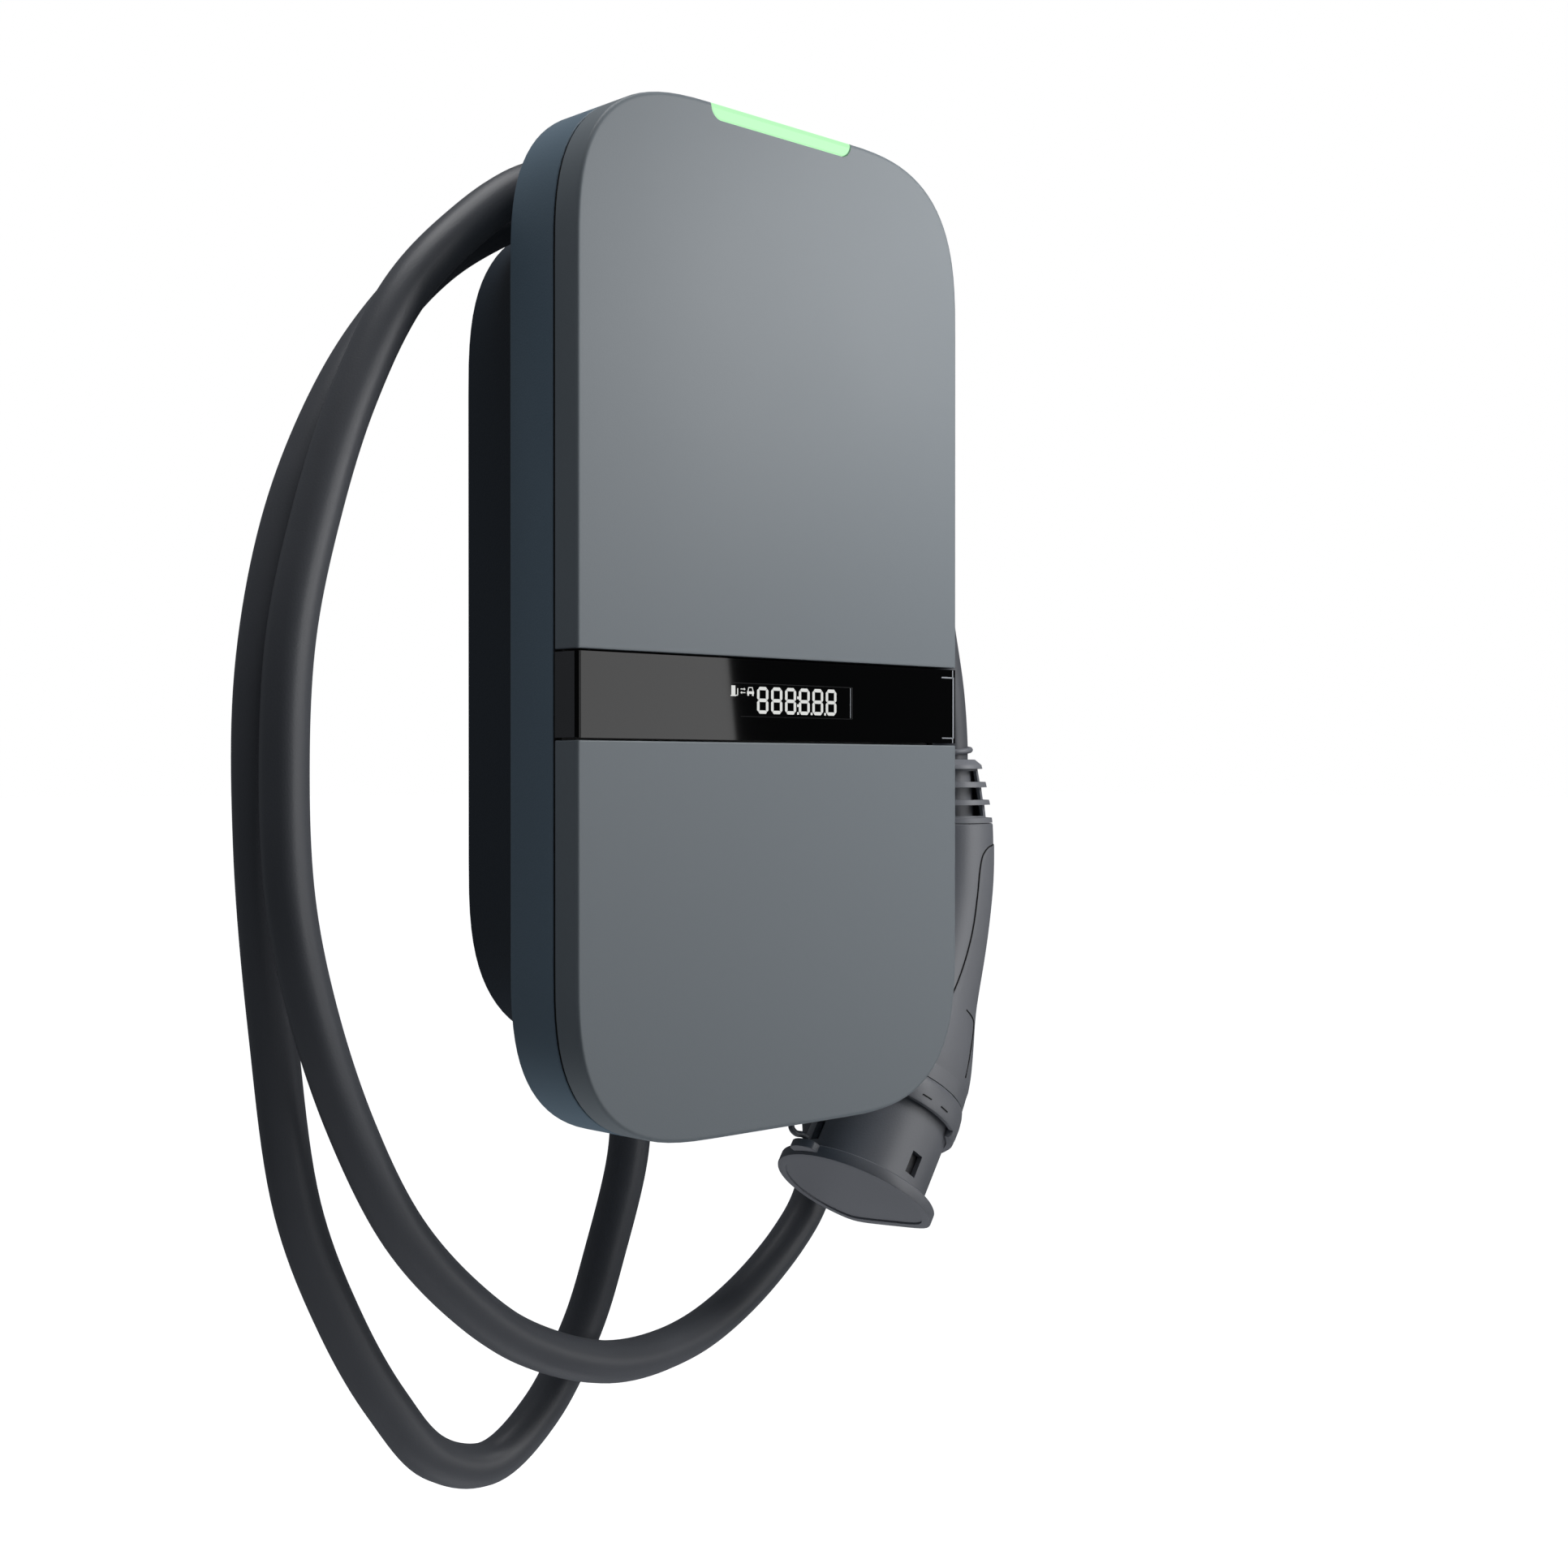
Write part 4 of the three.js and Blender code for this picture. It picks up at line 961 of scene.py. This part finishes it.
nose_tools = [turned_bar((19, 32), (29.7, 38.5), (-2.75, 2.75), d) for d in NOSE_WINDOWS]
nose_tools.append(turned_bar((23.6, 32), (41.4, 43.2), (-2, 2), 52))
nose_mesh = carved("nose_shroud", nose(), *nose_tools)
piece("nose_shroud", moved_mesh(nose_mesh, HEAD), "plug_plastic", stands_for=["nose_sleeve"])

LIP_HALF_TURN = 66  # degrees that the collar's lip reaches to each side of the outer side
LIP_STEPS = 40


def collar():
    """Ring round the root of the nose, with a lip over its outer side."""
    ring = [(26.4, 2.0), (27.1, 2.0), (27.5, 2.3), (28.1, 4.5), (28.5, 8), (28.5, 12.2),
            (28.3, 12.9), (27.8, 13.2), (26.9, 13.2), (26.4, 12.8)]
    lip = [(25.8, 11), (28.1, 11), (28.4, 13), (28.3, 14.6), (27.4, 15.8), (25.8, 15.8)]
    turns = [math.radians(LIP_HALF_TURN * (2 * k / LIP_STEPS - 1)) for k in range(LIP_STEPS + 1)]
    return merged(lathe(ring, 96), swept(lip, turns))


# dark boxes in the collar's slits: painted shade
slits = [turned_bar((28.0, 28.7), (9.5, 9.9), (-2.1, 2.1), d) for d in (108.5, 89.5)]
piece("collar_ring", placed(collar(), HEAD), "plug_plastic", stands_for=["head_collar"])
piece("collar_slits", placed(merged(*slits), HEAD), "plug_plastic", finish="gap")


CAP_FIT = 0.4  # room between the nose and the cap's recess
FACE_DROP = 0.7


def cap():
    """Recess for the nose, outer edge, and an end face sunk inside a flat rim."""
    def loop(inset, height):
        return flat_loop(CAP_RADIUS - inset, CAP_FLAT - inset, height, 6)
    recess = (NOSE_RADIUS + CAP_FIT, NOSE_FLAT + CAP_FIT)
    return loft([flat_loop(*recess, CAP_FLOOR), flat_loop(*recess, CAP_RIM), loop(0.5, CAP_RIM),
                 loop(0, CAP_RIM + 0.5), loop(0, CAP_END - 0.6), loop(0.2, CAP_END - 0.15),
                 loop(0.6, CAP_END), loop(3.5, CAP_END), loop(3.6, CAP_END - FACE_DROP),
                 loop(4.4, CAP_END - FACE_DROP)])


def cap_tab():
    """Round-ended tab at the cap's edge that holds the leash."""
    half_width, reach, root = 6, 1.5, 3
    turns = [math.pi / 2 + k / 12 * math.pi for k in range(13)]
    points = [(-CAP_RADIUS - reach + root * math.cos(t), half_width * math.sin(t)) for t in turns]
    points += [(-CAP_RADIUS + root, -half_width), (-CAP_RADIUS + root, half_width)]
    rows = [(0.95, 44.0), (1, 44.3), (1, 46.9), (0.95, 47.2)]
    return loft([[(-CAP_RADIUS + (x + CAP_RADIUS) * scale, h, z * scale) for x, z in points]
                 for scale, h in rows])


piece("cap_cover", placed(merged(cap(), cap_tab()), HEAD), "cap_plastic", "cap", ["protective_cap"])

# each contact's place across the plug, and its radius
CONTACTS = [(0, 0, 3.6), (0, -13, 3.6), (0, 13, 3.6), (-11, -6.7, 3.6), (-11, 6.7, 3.6),
            (10.5, -6, 2.6), (10.5, 6, 2.6)]
carrier = loft([flat_loop(22.7, 18.7, 8), flat_loop(22.7, 18.7, 43.9), flat_loop(22.2, 18.2, 44.4)])
wells = [rod(radius - 0.8, (5, 50), x, z, 32) for x, z, radius in CONTACTS]
piece("contact_block", moved_mesh(carved("contact_block", carrier, *wells), HEAD), "dark_plastic",
      stands_for=["contact_carrier"])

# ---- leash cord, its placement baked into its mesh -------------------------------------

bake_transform(leash)

# ---- floor -----------------------------------------------------------------------------

FLOOR_REACH = 60
FLOOR_LEVEL = -0.75

floor_mesh = bpy.data.meshes.new("floor")
floor_corners = [(x * FLOOR_REACH, y * FLOOR_REACH, FLOOR_LEVEL)
                 for x, y in ((-1, -1), (1, -1), (1, 1), (-1, 1))]
floor_mesh.from_pydata(floor_corners, [], [(0, 1, 2, 3)])
floor_mesh.materials.append(material("pale_floor", (250, 250, 250), 0.8, vary=0.01, patch=2, glow=1.0))
floor = bpy.data.objects.new("floor", floor_mesh)
SCENE.collection.objects.link(floor)
floor.visible_diffuse = False
floor.visible_glossy = False
